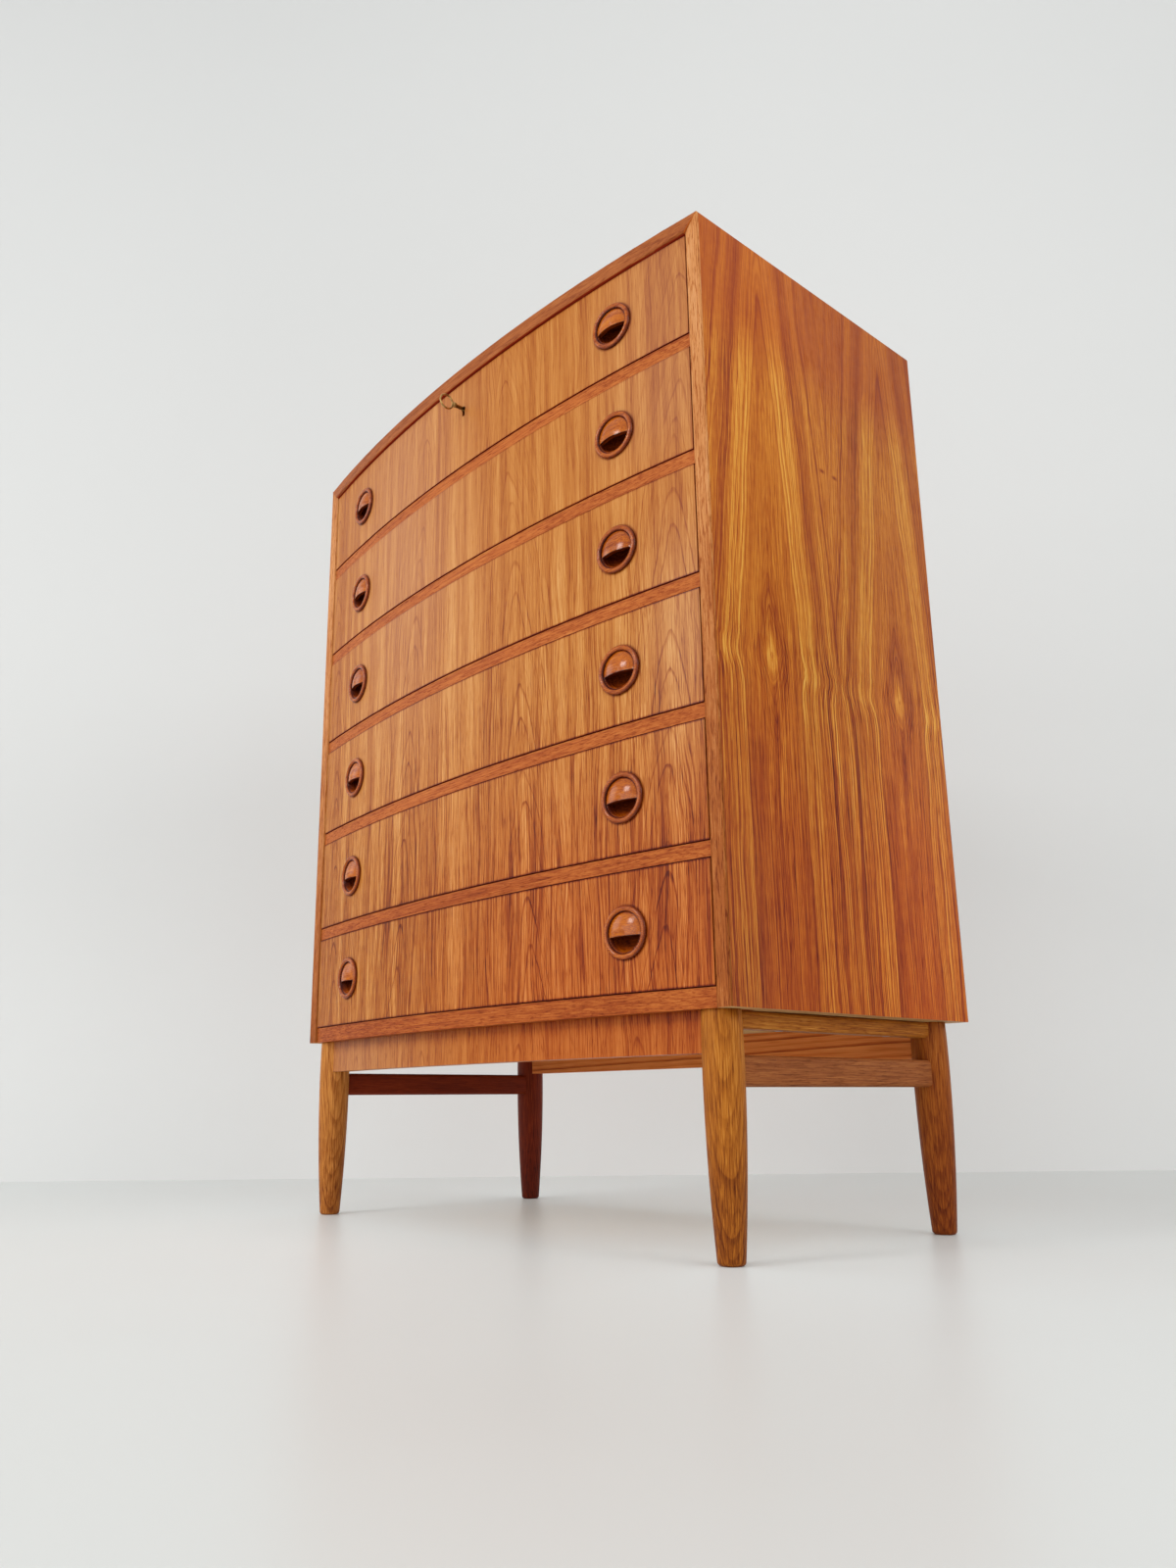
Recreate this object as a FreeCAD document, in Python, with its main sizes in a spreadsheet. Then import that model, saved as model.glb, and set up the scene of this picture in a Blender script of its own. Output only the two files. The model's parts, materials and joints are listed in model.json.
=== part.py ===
"""Bow front chest of six drawers on a turned-leg stand, millimetres, +Z up.

The origin lies on the floor, under the middle of the overall box: case, stand and key.
X runs across the width, Y from the bowed front to the straight back.
"""
import FreeCAD, Part, Sketcher
import math
import os

DRAWERS = 6

DIMENSIONS = [
    # the case
    ("case_width", 800, "outside width over the side panels"),
    ("case_depth", 415, "depth of a side panel, front edge to back edge"),
    ("case_height", 880, "side panel height, without the stand"),
    ("side_thickness", 19, "side panel"),
    ("top_thickness", 20, "top panel"),
    ("bow_depth", 32.4, "how far the top's front edge bows out past its ends"),
    ("front_recess", 4.2, "drawer fronts behind the bow of the top"),
    ("rail_recess", 1.2, "rails behind the drawer fronts"),
    ("edge_round", 2.5, "softening of the front edges"),
    ("corner_round", 3, "rounding of the long mitred corners"),
    ("bottom_thickness", 20, "bottom panel and the rail in front of it"),
    ("divider_thickness", 16, "rail between two drawers"),
    ("rail_depth", 58, "rails, from the side panels' front edges to their back"),
    ("rail_tenon", 9, "thickness of the tenon on a rail's end"),
    ("rail_tenon_setback", 14, "tenon's front, behind the side panels' front edges"),
    ("housing_depth", 7, "how deep boards are let into the side panels"),
    ("runner_width", 22, "drawer runner, beyond the side panel"),
    ("back_thickness", 6, "back panel"),
    ("back_lap", 9, "how far the back panel laps onto sides and top"),
    # the drawers
    ("front_thickness", 20, "drawer front"),
    ("side_gap", 1.2, "between a drawer and the side panels"),
    ("gap_above", 1.2, "above a drawer front"),
    ("gap_below", 1.1, "below a drawer front"),
    ("running_gap", 0.3, "between a drawer side and its runner"),
    ("box_drop", 8, "drawer sides below the next runner"),
    ("box_thickness", 11, "drawer sides and back"),
    ("box_back_gap", 9, "between the drawer sides' ends and the back panel"),
    ("box_back_inset", 12, "drawer back, from the sides' ends"),
    ("dado_depth", 4, "how deep the drawer back is let into the sides"),
    ("tail_setback", 8, "dovetail tips, behind the side panels' front edges"),
    ("tail_shoulder", 19, "dovetail shoulders, behind the side panels' front edges"),
    ("tail_width", 21, "dovetail at its shoulder"),
    ("tail_flare", 2, "how much a dovetail widens on each side"),
    ("panel_thickness", 5, "drawer bottom"),
    ("panel_height", 9, "underside of the drawer bottom, above the runner"),
    ("panel_groove", 5, "groove that holds the drawer bottom"),
    # the pulls
    ("pull_spacing", 548, "between the two pulls of a drawer"),
    ("pull_drop", 1.2, "pulls below the middle of their drawer"),
    ("pull_radius", 28, "outside of the bead ring"),
    ("bead_height", 4.4, "crest of the bead ring above the drawer front"),
    ("bead_width", 6.2, "bead ring, from its outside to the groove"),
    ("bead_foot", 1, "straight foot of the bead ring"),
    ("groove_floor", 1.2, "groove between bead and lid above the drawer front"),
    ("lid_height", 6.4, "crown of the lid above the drawer front"),
    ("lid_thickness", 3.6, "lid"),
    ("lid_drop", 4, "lid's lower edge below the pull's centre"),
    ("spigot_radius", 23.5, "part of the pull let into the drawer front"),
    ("spigot_depth", 16, "how deep the pull is let in"),
    ("cup_radius", 19, "finger cup behind the lid"),
    ("cup_floor", 3, "wall behind the finger cup"),
    ("mouth_wall", 1.3, "wall between the mouth under the lid and the groove"),
    # the lock
    ("key_drop", 42, "key's axis below the top of the upper opening"),
    ("lock_width", 60, "lock case across"),
    ("lock_height", 56, "lock case, top to bottom"),
    ("lock_depth", 12, "lock case, front to back"),
    ("lock_setback", 8.5, "lock case behind the drawer's face"),
    ("lock_wall", 1.6, "lock case's plate"),
    ("lock_play", 0.4, "room around the moving lock pieces"),
    ("bolt_width", 18, "bolt across"),
    ("bolt_thickness", 3, "bolt's plate"),
    ("bolt_travel", 6.5, "bolt's lift"),
    ("talon_start", 5, "talon's near side, beside the key's axis"),
    ("talon_width", 4, "talon across"),
    ("talon_rest", 4.9, "talon's lower face below the key's axis"),
    ("talon_height", 8, "talon, bottom to top"),
    ("strike_length", 30, "slot in the top for the bolt"),
    ("strike_width", 6, "slot in the top, front to back"),
    ("strike_room", 3.3, "slot in the top above the raised bolt"),
    ("key_reach", 38.5, "key's bow in front of the drawer's face"),
    ("key_bow_radius", 11, "key's ring-shaped bow, outside"),
    ("key_bow_rim", 2.5, "thickness of the bow's round rim"),
    ("key_radius", 2.5, "key's shank"),
    ("key_fit", 0.08, "running clearance of the shank in the lock case"),
    ("collar_radius", 3.3, "collar where the shank meets the bow"),
    ("collar_length", 3, "collar along the key"),
    ("bit_reach", 10, "key's bit below the axis"),
    ("bit_thickness", 2.2, "key's bit"),
    ("keyhole_radius", 3.9, "round part of the keyhole in the wood"),
    ("keyhole_slot", 5.4, "width of the slot under it"),
    # the stand
    ("leg_height", 233, "floor to the underside of the case"),
    ("leg_inset", 34, "legs' axes inside the side panels' outer faces"),
    ("leg_front", 24, "front legs' axes behind the side panels' front edges"),
    ("leg_back", 32, "back legs' axes in front of the side panels' back edges"),
    ("leg_top_radius", 19.7, "leg at the case"),
    ("leg_belly_radius", 20.4, "leg at its widest"),
    ("leg_belly_height", 163, "height of the widest place"),
    ("leg_foot_radius", 13.2, "leg at the floor"),
    ("leg_foot_round", 4, "rounding under the foot"),
    ("leg_swell", 1.4, "how far the leg's outline swells past a straight taper"),
    ("stretcher_top", 190, "upper face of the side stretcher"),
    ("stretcher_height", 30, "side stretcher"),
    ("stretcher_width", 22, "side stretcher and upper rail"),
    ("stretcher_round", 5, "softened edges of both"),
    ("upper_rail_height", 18, "rail under the case"),
    ("apron_height", 41, "front and back aprons"),
    ("apron_thickness", 20, "front and back aprons"),
    ("apron_recess", 19.4, "front apron behind the bow of the top"),
    ("stand_tenon", 10, "thickness of every tenon in the legs"),
    ("tenon_shoulder", 5, "rail above and below its tenon"),
    ("tenon_end", 6, "tenon's end, short of the leg's axis"),
    ("apron_tenon", 22, "front apron's tenon, end to root"),
    # the screws
    ("stand_screw_radius", 2.2, "screw that holds the case, its shank"),
    ("stand_screw_length", 30, "screw that holds the case"),
    ("stand_screw_head", 4.4, "screw that holds the case, its head"),
    ("stand_screw_inset", 86, "screw that holds the case, from the nearest leg's axis"),
    ("back_screw_radius", 1.5, "back panel's screw, its shank"),
    ("back_screw_length", 18, "back panel's screw"),
    ("back_screw_head", 3, "back panel's screw, its head"),
    ("back_screw_edge", 5, "back panel's screw, from the panel's edge"),
]

doc = FreeCAD.newDocument("BowFrontChest")
dims = doc.addObject("Spreadsheet::Sheet", "dims")
for row, (alias, size, note) in enumerate(DIMENSIONS, start=1):
    dims.set(f"A{row}", alias)
    dims.set(f"B{row}", str(size))
    dims.set(f"C{row}", note)
    dims.setAlias(f"B{row}", alias)
doc.recompute()

# Places that several pieces share, as expressions of the driving dimensions.
KEY_FRONT = "(dims.bow_depth - dims.front_recess + dims.key_reach)"
FRONT = f"(({KEY_FRONT} - dims.case_depth) / 2)"
BACK = f"(({KEY_FRONT} + dims.case_depth) / 2)"
HALF = "(dims.case_width / 2)"
INSIDE = "(dims.case_width / 2 - dims.side_thickness)"
CASE_TOP = "(dims.leg_height + dims.case_height)"
OPENING = (
    "((dims.case_height - dims.top_thickness - dims.bottom_thickness"
    f" - {DRAWERS - 1} * dims.divider_thickness) / {DRAWERS})"
)
STEP = f"({OPENING} + dims.divider_thickness)"
FIRST = "(dims.leg_height + dims.bottom_thickness)"
BOW = "(dims.case_width ^ 2 / (8 * dims.bow_depth) + dims.bow_depth / 2)"
CENTRE = f"({FRONT} - dims.bow_depth + {BOW})"
FACE = f"({BOW} - dims.front_recess)"
FACE_Y = f"({CENTRE} - {FACE})"
RAIL_BACK = f"({FRONT} + dims.rail_depth)"
BACK_FACE = f"({BACK} - dims.back_thickness)"
DRAWER_HALF = f"({INSIDE} - dims.side_gap)"
LEG_X = f"({HALF} - dims.leg_inset)"
LEG_FRONT = f"({FRONT} + dims.leg_front)"
LEG_BACK = f"({BACK} - dims.leg_back)"


def value(expression):
    """The present value of an expression."""
    return float(dims.evalExpression(expression))


def bind(thing, **expressions):
    """Ties properties to expressions; a double underscore stands for a dot."""
    for name, expression in expressions.items():
        thing.setExpression(name.replace("__", "."), str(expression))
    return thing


def place(thing, x="0", y="0", z="0"):
    """Ties a piece's place to expressions."""
    return bind(thing, Placement__Base__x=x, Placement__Base__y=y, Placement__Base__z=z)


def box(name, x, y, z, width, depth, height):
    """A board with its lowest corner at x, y, z."""
    board = doc.addObject("Part::Box", name)
    bind(board, Length=width, Width=depth, Height=height)
    return place(board, x, y, z)


def centred(name, y, z, width, depth, height):
    """A board that straddles the middle of the chest."""
    return box(name, f"-({width}) / 2", y, z, width, depth, height)


def rod(name, radius, length, x, y, z, axis):
    """A cylinder that starts at x, y, z and runs along axis."""
    cylinder = doc.addObject("Part::Cylinder", name)
    turn = FreeCAD.Rotation(FreeCAD.Vector(0, 0, 1), FreeCAD.Vector(*axis))
    cylinder.Placement = FreeCAD.Placement(FreeCAD.Vector(0, 0, 0), turn)
    bind(cylinder, Radius=radius, Height=length)
    return place(cylinder, x, y, z)


def cut(name, base, *tools):
    """The base with each tool taken away in turn."""
    for number, tool in enumerate(tools, start=1):
        last = number == len(tools)
        result = doc.addObject("Part::Cut", name if last else f"{name}_cut_{number}")
        result.Base = base
        result.Tool = tool
        base = result
    return base


def fuse(name, *pieces):
    """Overlapping solids joined into one."""
    result = doc.addObject("Part::MultiFuse", name)
    result.Shapes = list(pieces)
    result.Refine = True
    return result


def common(name, first, second):
    """What two solids share."""
    result = doc.addObject("Part::Common", name)
    result.Base = first
    result.Tool = second
    return result


def group(name, pieces, z="0"):
    """Separate solids kept as one sub-part, all raised by z."""
    result = doc.addObject("Part::Compound", name)
    result.Links = list(pieces)
    return place(result, z=z)


def origin_plane(body, role):
    """One of a body's own origin planes."""
    return next(plane for plane in body.Origin.OriginFeatures if plane.Role == role)


def sketch_on(body, name, role, offset="0"):
    """An empty sketch on an origin plane, moved along the plane's normal."""
    sketch = body.newObject("Sketcher::SketchObject", name)
    sketch.AttachmentSupport = [(origin_plane(body, role), "")]
    sketch.MapMode = "FlatFace"
    return bind(sketch, AttachmentOffset__Base__z=offset)


def fix(sketch, name, constraint, expression):
    """Adds a size to a sketch and ties it to an expression."""
    kind, *where = constraint
    index = sketch.addConstraint(Sketcher.Constraint(kind, *where, value(expression)))
    sketch.renameConstraint(index, name)
    sketch.setExpression(f"Constraints.{name}", expression)


def join(sketch, *constraint):
    """Adds a constraint that has no size."""
    sketch.addConstraint(Sketcher.Constraint(*constraint))


def polygon(sketch, points):
    """A closed outline through points, each coordinate an expression."""
    corners = [FreeCAD.Vector(value(across), value(up), 0) for across, up in points]
    count = len(corners)
    for index in range(count):
        edge = Part.LineSegment(corners[index], corners[(index + 1) % count])
        sketch.addGeometry(edge, False)
    for index, (across, up) in enumerate(points):
        join(sketch, "Coincident", index - 1 if index else count - 1, 2, index, 1)
        fix(sketch, f"across_{index}", ("DistanceX", -1, 1, index, 1), across)
        fix(sketch, f"up_{index}", ("DistanceY", -1, 1, index, 1), up)
    return sketch


def bowed_outline(sketch, half_width, front_radius, back_radius=None, back_y=None):
    """An outline with a bowed front, drawn around the centre of the bow.

    Its back is a second arc about the same centre, or a straight line.
    """
    half, radius = value(half_width), value(front_radius)
    middle = -math.pi / 2

    def arc(size):
        swing = math.asin(half / size)
        circle = Part.Circle(FreeCAD.Vector(0, 0, 0), FreeCAD.Vector(0, 0, 1), size)
        return Part.ArcOfCircle(circle, middle - swing, middle + swing)

    front = -math.sqrt(radius ** 2 - half ** 2)
    if back_radius:
        rear = -math.sqrt(value(back_radius) ** 2 - half ** 2)
        back_edge, back_right, back_left = arc(value(back_radius)), 2, 1
    else:
        rear = value(back_y)
        ends = FreeCAD.Vector(half, rear, 0), FreeCAD.Vector(-half, rear, 0)
        back_edge, back_right, back_left = Part.LineSegment(*ends), 1, 2
    right = FreeCAD.Vector(half, front, 0), FreeCAD.Vector(half, rear, 0)
    left = FreeCAD.Vector(-half, rear, 0), FreeCAD.Vector(-half, front, 0)
    sketch.addGeometry(arc(radius), False)
    sketch.addGeometry(Part.LineSegment(*right), False)
    sketch.addGeometry(back_edge, False)
    sketch.addGeometry(Part.LineSegment(*left), False)
    join(sketch, "Coincident", 0, 2, 1, 1)
    join(sketch, "Coincident", 1, 2, 2, back_right)
    join(sketch, "Coincident", 2, back_left, 3, 1)
    join(sketch, "Coincident", 3, 2, 0, 1)
    join(sketch, "Coincident", 0, 3, -1, 1)
    join(sketch, "Vertical", 1)
    join(sketch, "Vertical", 3)
    fix(sketch, "front_radius", ("Radius", 0), front_radius)
    fix(sketch, "right_half", ("DistanceX", -1, 1, 1, 1), half_width)
    fix(sketch, "left_half", ("DistanceX", 3, 2, -1, 1), half_width)
    if back_radius:
        join(sketch, "Coincident", 2, 3, -1, 1)
        fix(sketch, "back_radius", ("Radius", 2), back_radius)
    else:
        join(sketch, "Horizontal", 2)
        fix(sketch, "back_line", ("DistanceY", -1, 1, 2, 1), back_y)
    return sketch


def new_body(name, x="0", y="0", z="0"):
    """An empty body at its place."""
    return place(doc.addObject("PartDesign::Body", name), x, y, z)


def pad(body, sketch, name, length, reverse=False, both=False):
    """Raises a sketch into a solid."""
    feature = body.newObject("PartDesign::Pad", name)
    feature.Profile = sketch
    feature.Reversed = reverse
    if both:
        feature.SideType = "Symmetric"
    bind(feature, Length=length)
    doc.recompute()
    return feature


def pocket(body, sketch, name, length, reverse=False, both=False):
    """Takes a sketch's outline out of a solid, and checks that it did."""
    before = body.Shape.Volume
    feature = body.newObject("PartDesign::Pocket", name)
    feature.Profile = sketch
    feature.Reversed = reverse
    if both:
        feature.SideType = "Symmetric"
    bind(feature, Length=length)
    doc.recompute()
    if body.Shape.Volume > before - 1:
        raise RuntimeError(f"{name} takes nothing away")
    return feature


def soften(body, feature, name, radius, wanted):
    """Fillets the edges of a feature that the test picks out."""
    edges = [
        f"Edge{number}"
        for number, edge in enumerate(feature.Shape.Edges, start=1)
        if wanted(edge)
    ]
    fillet = body.newObject("PartDesign::Fillet", name)
    fillet.Base = (feature, edges)
    bind(fillet, Radius=radius)
    doc.recompute()
    return fillet


def middle_of(edge):
    """The point half-way along an edge."""
    return edge.valueAt((edge.FirstParameter + edge.LastParameter) / 2)


def near(number, target):
    """Whether two lengths are the same."""
    return abs(number - target) < 0.01


def bowed_board(name, z, thickness, half_width, front_radius, back_radius=None, back_y=None):
    """A board with a bowed front edge, lying flat at height z."""
    body = new_body(name, y=CENTRE, z=z)
    sketch = sketch_on(body, f"{name}_outline", "XY_Plane")
    bowed_outline(sketch, half_width, front_radius, back_radius, back_y)
    feature = pad(body, sketch, f"{name}_pad", thickness)
    return body, feature


# ---------------------------------------------------------------- screws


def screw(name, radius, length, head, x, y, z, axis):
    """A countersunk screw; its head's face lies at x, y, z and it runs along axis."""
    shank = rod(f"{name}_shank", radius, length, x, y, z, axis)
    cone = doc.addObject("Part::Cone", f"{name}_head")
    turn = FreeCAD.Rotation(FreeCAD.Vector(0, 0, 1), FreeCAD.Vector(*axis))
    cone.Placement = FreeCAD.Placement(FreeCAD.Vector(0, 0, 0), turn)
    bind(cone, Radius1=head, Radius2=radius, Height=f"{head} - {radius}")
    place(cone, x, y, z)
    return fuse(name, shank, cone)


def stand_screws():
    """Two screws up through each upper rail into the case's bottom."""
    size = "dims.stand_screw_radius", "dims.stand_screw_length", "dims.stand_screw_head"
    height = "dims.leg_height - dims.upper_rail_height"
    screws = []
    for side, x in (("left", f"-{LEG_X}"), ("right", LEG_X)):
        for end, y in (
            ("front", f"{LEG_FRONT} + dims.stand_screw_inset"),
            ("back", f"{LEG_BACK} - dims.stand_screw_inset"),
        ):
            name = f"stand_screw_{side}_{end}"
            screws.append(screw(name, *size, x, y, height, (0, 0, 1)))
    return group("stand_screws", screws)


def back_screws():
    """Screws around the back panel, into the sides, the top and the bottom."""
    size = "dims.back_screw_radius", "dims.back_screw_length", "dims.back_screw_head"
    into = (0, -1, 0)
    edge = f"({INSIDE} + dims.back_lap - dims.back_screw_edge)"
    low = "(dims.leg_height + dims.bottom_thickness / 2)"
    high = f"({CASE_TOP} - dims.top_thickness + dims.back_lap - dims.back_screw_edge)"
    screws = []
    for column in range(4):
        x = f"{edge} * {2 * column - 3} / 4"
        for row, z in (("low", low), ("high", high)):
            name = f"back_screw_{row}_{column}"
            screws.append(screw(name, *size, x, BACK, z, into))
    for side, x in (("left", f"-{edge}"), ("right", edge)):
        for row in range(4):
            z = f"{low} + ({high} - {low}) * {row + 0.5} / 4"
            name = f"back_screw_{side}_{row}"
            screws.append(screw(name, *size, x, BACK, z, into))
    return group("back_screws", screws)


# ------------------------------------------------------------------ case


def rail(name, z, thickness):
    """A bowed rail between the side panels, with a tenon let into each of them."""
    body, _ = bowed_board(
        f"{name}_board", z, thickness, INSIDE, f"({FACE} - dims.rail_recess)",
        back_y=f"{RAIL_BACK} - {CENTRE}",
    )
    tenon = centred(
        f"{name}_tenon",
        f"{FRONT} + dims.rail_tenon_setback",
        f"{z} + ({thickness} - dims.rail_tenon) / 2",
        f"2 * ({INSIDE} + dims.housing_depth)",
        "dims.rail_depth - dims.rail_tenon_setback",
        "dims.rail_tenon",
    )
    return fuse(name, body, tenon)


def divider_height(number):
    """Underside of divider number, counted from the top drawer down."""
    return f"{FIRST} + {DRAWERS - number} * {STEP} - dims.divider_thickness"


def bottom_board():
    """The bottom panel behind the bottom rail, let into both side panels."""
    return centred(
        "bottom_board",
        RAIL_BACK,
        "dims.leg_height",
        f"2 * ({INSIDE} + dims.housing_depth)",
        f"{BACK_FACE} - {RAIL_BACK}",
        "dims.bottom_thickness",
    )


def back_board():
    """The back panel, which laps onto the sides, the top and the bottom."""
    return centred(
        "back_board",
        BACK_FACE,
        "dims.leg_height",
        f"2 * ({INSIDE} + dims.back_lap)",
        "dims.back_thickness",
        "dims.case_height - dims.top_thickness + dims.back_lap",
    )


def runners(side):
    """The runners on one side, behind the dividers and level with them."""
    width = "dims.runner_width + dims.housing_depth"
    x = f"{INSIDE} - dims.runner_width" if side == "right" else f"-({INSIDE} + dims.housing_depth)"
    strips = [
        box(
            f"runner_{side}_{number}",
            x,
            RAIL_BACK,
            divider_height(number),
            width,
            f"{BACK_FACE} - {RAIL_BACK}",
            "dims.divider_thickness",
        )
        for number in range(1, DRAWERS)
    ]
    return group(f"runners_{side}", strips), strips


def case_envelope():
    """The case's outline from the front, with its two long upper corners rounded."""
    body = new_body("case_envelope", y=FRONT, z="dims.leg_height")
    sketch = sketch_on(body, "envelope_outline", "XZ_Plane")
    corners = [
        (f"-{HALF}", "0"),
        (HALF, "0"),
        (HALF, "dims.case_height"),
        (f"-{HALF}", "dims.case_height"),
    ]
    polygon(sketch, corners)
    block = pad(body, sketch, "envelope_pad", "2 * (dims.case_depth + dims.bow_depth)", both=True)
    height = value("dims.case_height")

    def upper_corner(edge):
        point = middle_of(edge)
        along = near(abs(edge.Vertexes[0].Y - edge.Vertexes[-1].Y), edge.Length)
        return along and near(point.z, height)

    soften(body, block, "envelope_round", "dims.corner_round", upper_corner)
    return body


def side_board(side):
    """A side panel before its housings are cut, mitred at its upper end."""
    sign = "" if side == "right" else "-"
    body = new_body(f"side_board_{side}", y=FRONT, z="dims.leg_height")
    sketch = sketch_on(body, f"side_profile_{side}", "XZ_Plane")
    profile = [
        (f"{sign}{INSIDE}", "0"),
        (f"{sign}{HALF}", "0"),
        (f"{sign}{HALF}", "dims.case_height"),
        (f"{sign}{INSIDE}", "dims.case_height - dims.top_thickness"),
    ]
    polygon(sketch, profile)
    board = pad(body, sketch, f"side_pad_{side}", "dims.case_depth", reverse=True)

    def front_edge(edge):
        upright = near(abs(edge.Vertexes[0].X - edge.Vertexes[-1].X), 0)
        return upright and near(middle_of(edge).y, 0)

    soften(body, board, f"side_round_{side}", "dims.edge_round", front_edge)
    return body


def top_board():
    """The top panel: bowed at the front, mitred at both ends."""
    body, board = bowed_board(
        "top_board",
        f"{CASE_TOP} - dims.top_thickness",
        "dims.top_thickness",
        HALF,
        BOW,
        back_y=f"{BACK} - {CENTRE}",
    )
    for side, sign in (("left", "-"), ("right", "")):
        sketch = sketch_on(body, f"mitre_{side}", "XZ_Plane")
        beyond = "dims.side_thickness"
        wedge = [
            (f"{sign}{INSIDE}", "0"),
            (f"{sign}{HALF}", "dims.top_thickness"),
            (f"{sign}({HALF} + {beyond})", "dims.top_thickness"),
            (f"{sign}({HALF} + {beyond})", "-dims.top_thickness"),
            (f"{sign}{INSIDE}", "-dims.top_thickness"),
        ]
        polygon(sketch, wedge)
        board = pocket(body, sketch, f"mitre_cut_{side}", f"3 * {BOW}", both=True)
    radius = value(BOW)

    def front_edge(edge):
        point = middle_of(edge)
        on_bow = near(math.hypot(point.x, point.y), radius)
        level = near(edge.Vertexes[0].Z, edge.Vertexes[-1].Z)
        return on_bow and level and point.y < 0

    soften(body, board, "top_round", "dims.edge_round", front_edge)
    return body


def make_case():
    """Sides, top, bottom, rails, back and runners, each let into its neighbours."""
    screws = back_screws()
    into_bottom = stand_screws()
    bottom = bottom_board()
    back = back_board()
    bottom_rail = rail("bottom_rail", "dims.leg_height", "dims.bottom_thickness")
    dividers = [
        rail(f"divider_{number}", divider_height(number), "dims.divider_thickness")
        for number in range(1, DRAWERS)
    ]
    envelope = case_envelope()
    housed = [bottom, bottom_rail, *dividers, back, screws]
    parts = [bottom_rail, *dividers, screws, into_bottom]
    for side in ("left", "right"):
        strips_group, strips = runners(side)
        rounded = common(f"side_{side}_rounded", side_board(side), envelope)
        parts.append(cut(f"side_panel_{side}", rounded, *housed, *strips))
        parts.append(strips_group)
    strike = centred(
        "strike_slot",
        f"{FACE_Y} + dims.lock_setback + dims.lock_depth - dims.lock_wall"
        " - dims.bolt_thickness / 2 - dims.strike_width / 2",
        f"{CASE_TOP} - dims.top_thickness",
        "dims.strike_length",
        "dims.strike_width",
        "dims.bolt_travel - dims.gap_above - dims.lock_play + dims.strike_room",
    )
    rounded = common("top_rounded", top_board(), envelope)
    parts.append(cut("top_panel", rounded, back, screws, strike))
    parts.append(cut("bottom_panel", bottom, screws, into_bottom))
    parts.append(cut("back_panel", back, screws))
    return parts


# --------------------------------------------------------------- drawers


def square_to_face(thing, side):
    """Sets a piece where a pull sits on the bowed face, turned so that Y runs into the wood."""
    sign = "-" if side == "left" else ""
    place(
        thing,
        f"{sign}dims.pull_spacing / 2",
        f"{CENTRE} - sqrt({FACE} ^ 2 - (dims.pull_spacing / 2) ^ 2)",
        f"{OPENING} / 2 - dims.pull_drop",
    )
    thing.Placement.Rotation = FreeCAD.Rotation(FreeCAD.Vector(0, 0, 1), 1)
    return bind(thing, Placement__Rotation__Angle=f"{sign}asin(dims.pull_spacing / 2 / {FACE})")


def pull(side):
    """A turned eyelid pull: bead ring, groove, domed lid and the finger cup behind it.

    Its axis is square to the bowed face, and y = 0 is the face.
    """
    body = square_to_face(new_body(f"pull_{side}"), side)

    turning = sketch_on(body, f"turning_{side}", "XY_Plane")
    groove = "(dims.pull_radius - dims.bead_width)"
    turned_profile(turning, groove)
    revolution = body.newObject("PartDesign::Revolution", f"turned_{side}")
    revolution.Profile = turning
    revolution.ReferenceAxis = (turning, ["V_Axis"])
    revolution.Angle = 360
    doc.recompute()

    hollow = sketch_on(body, f"cup_{side}", "XY_Plane")
    cup_profile(hollow)
    before = body.Shape.Volume
    cup = body.newObject("PartDesign::Groove", f"cup_cut_{side}")
    cup.Profile = hollow
    cup.ReferenceAxis = (hollow, ["V_Axis"])
    cup.Angle = 360
    doc.recompute()
    if body.Shape.Volume > before - 1:
        raise RuntimeError("the finger cup takes nothing away")

    mouth = sketch_on(body, f"mouth_{side}", "XZ_Plane", "-dims.lid_thickness")
    mouth_outline(mouth, f"({groove} - dims.mouth_wall)")
    pocket(body, mouth, f"mouth_cut_{side}", "2 * dims.spigot_depth", reverse=True)
    return body


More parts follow.
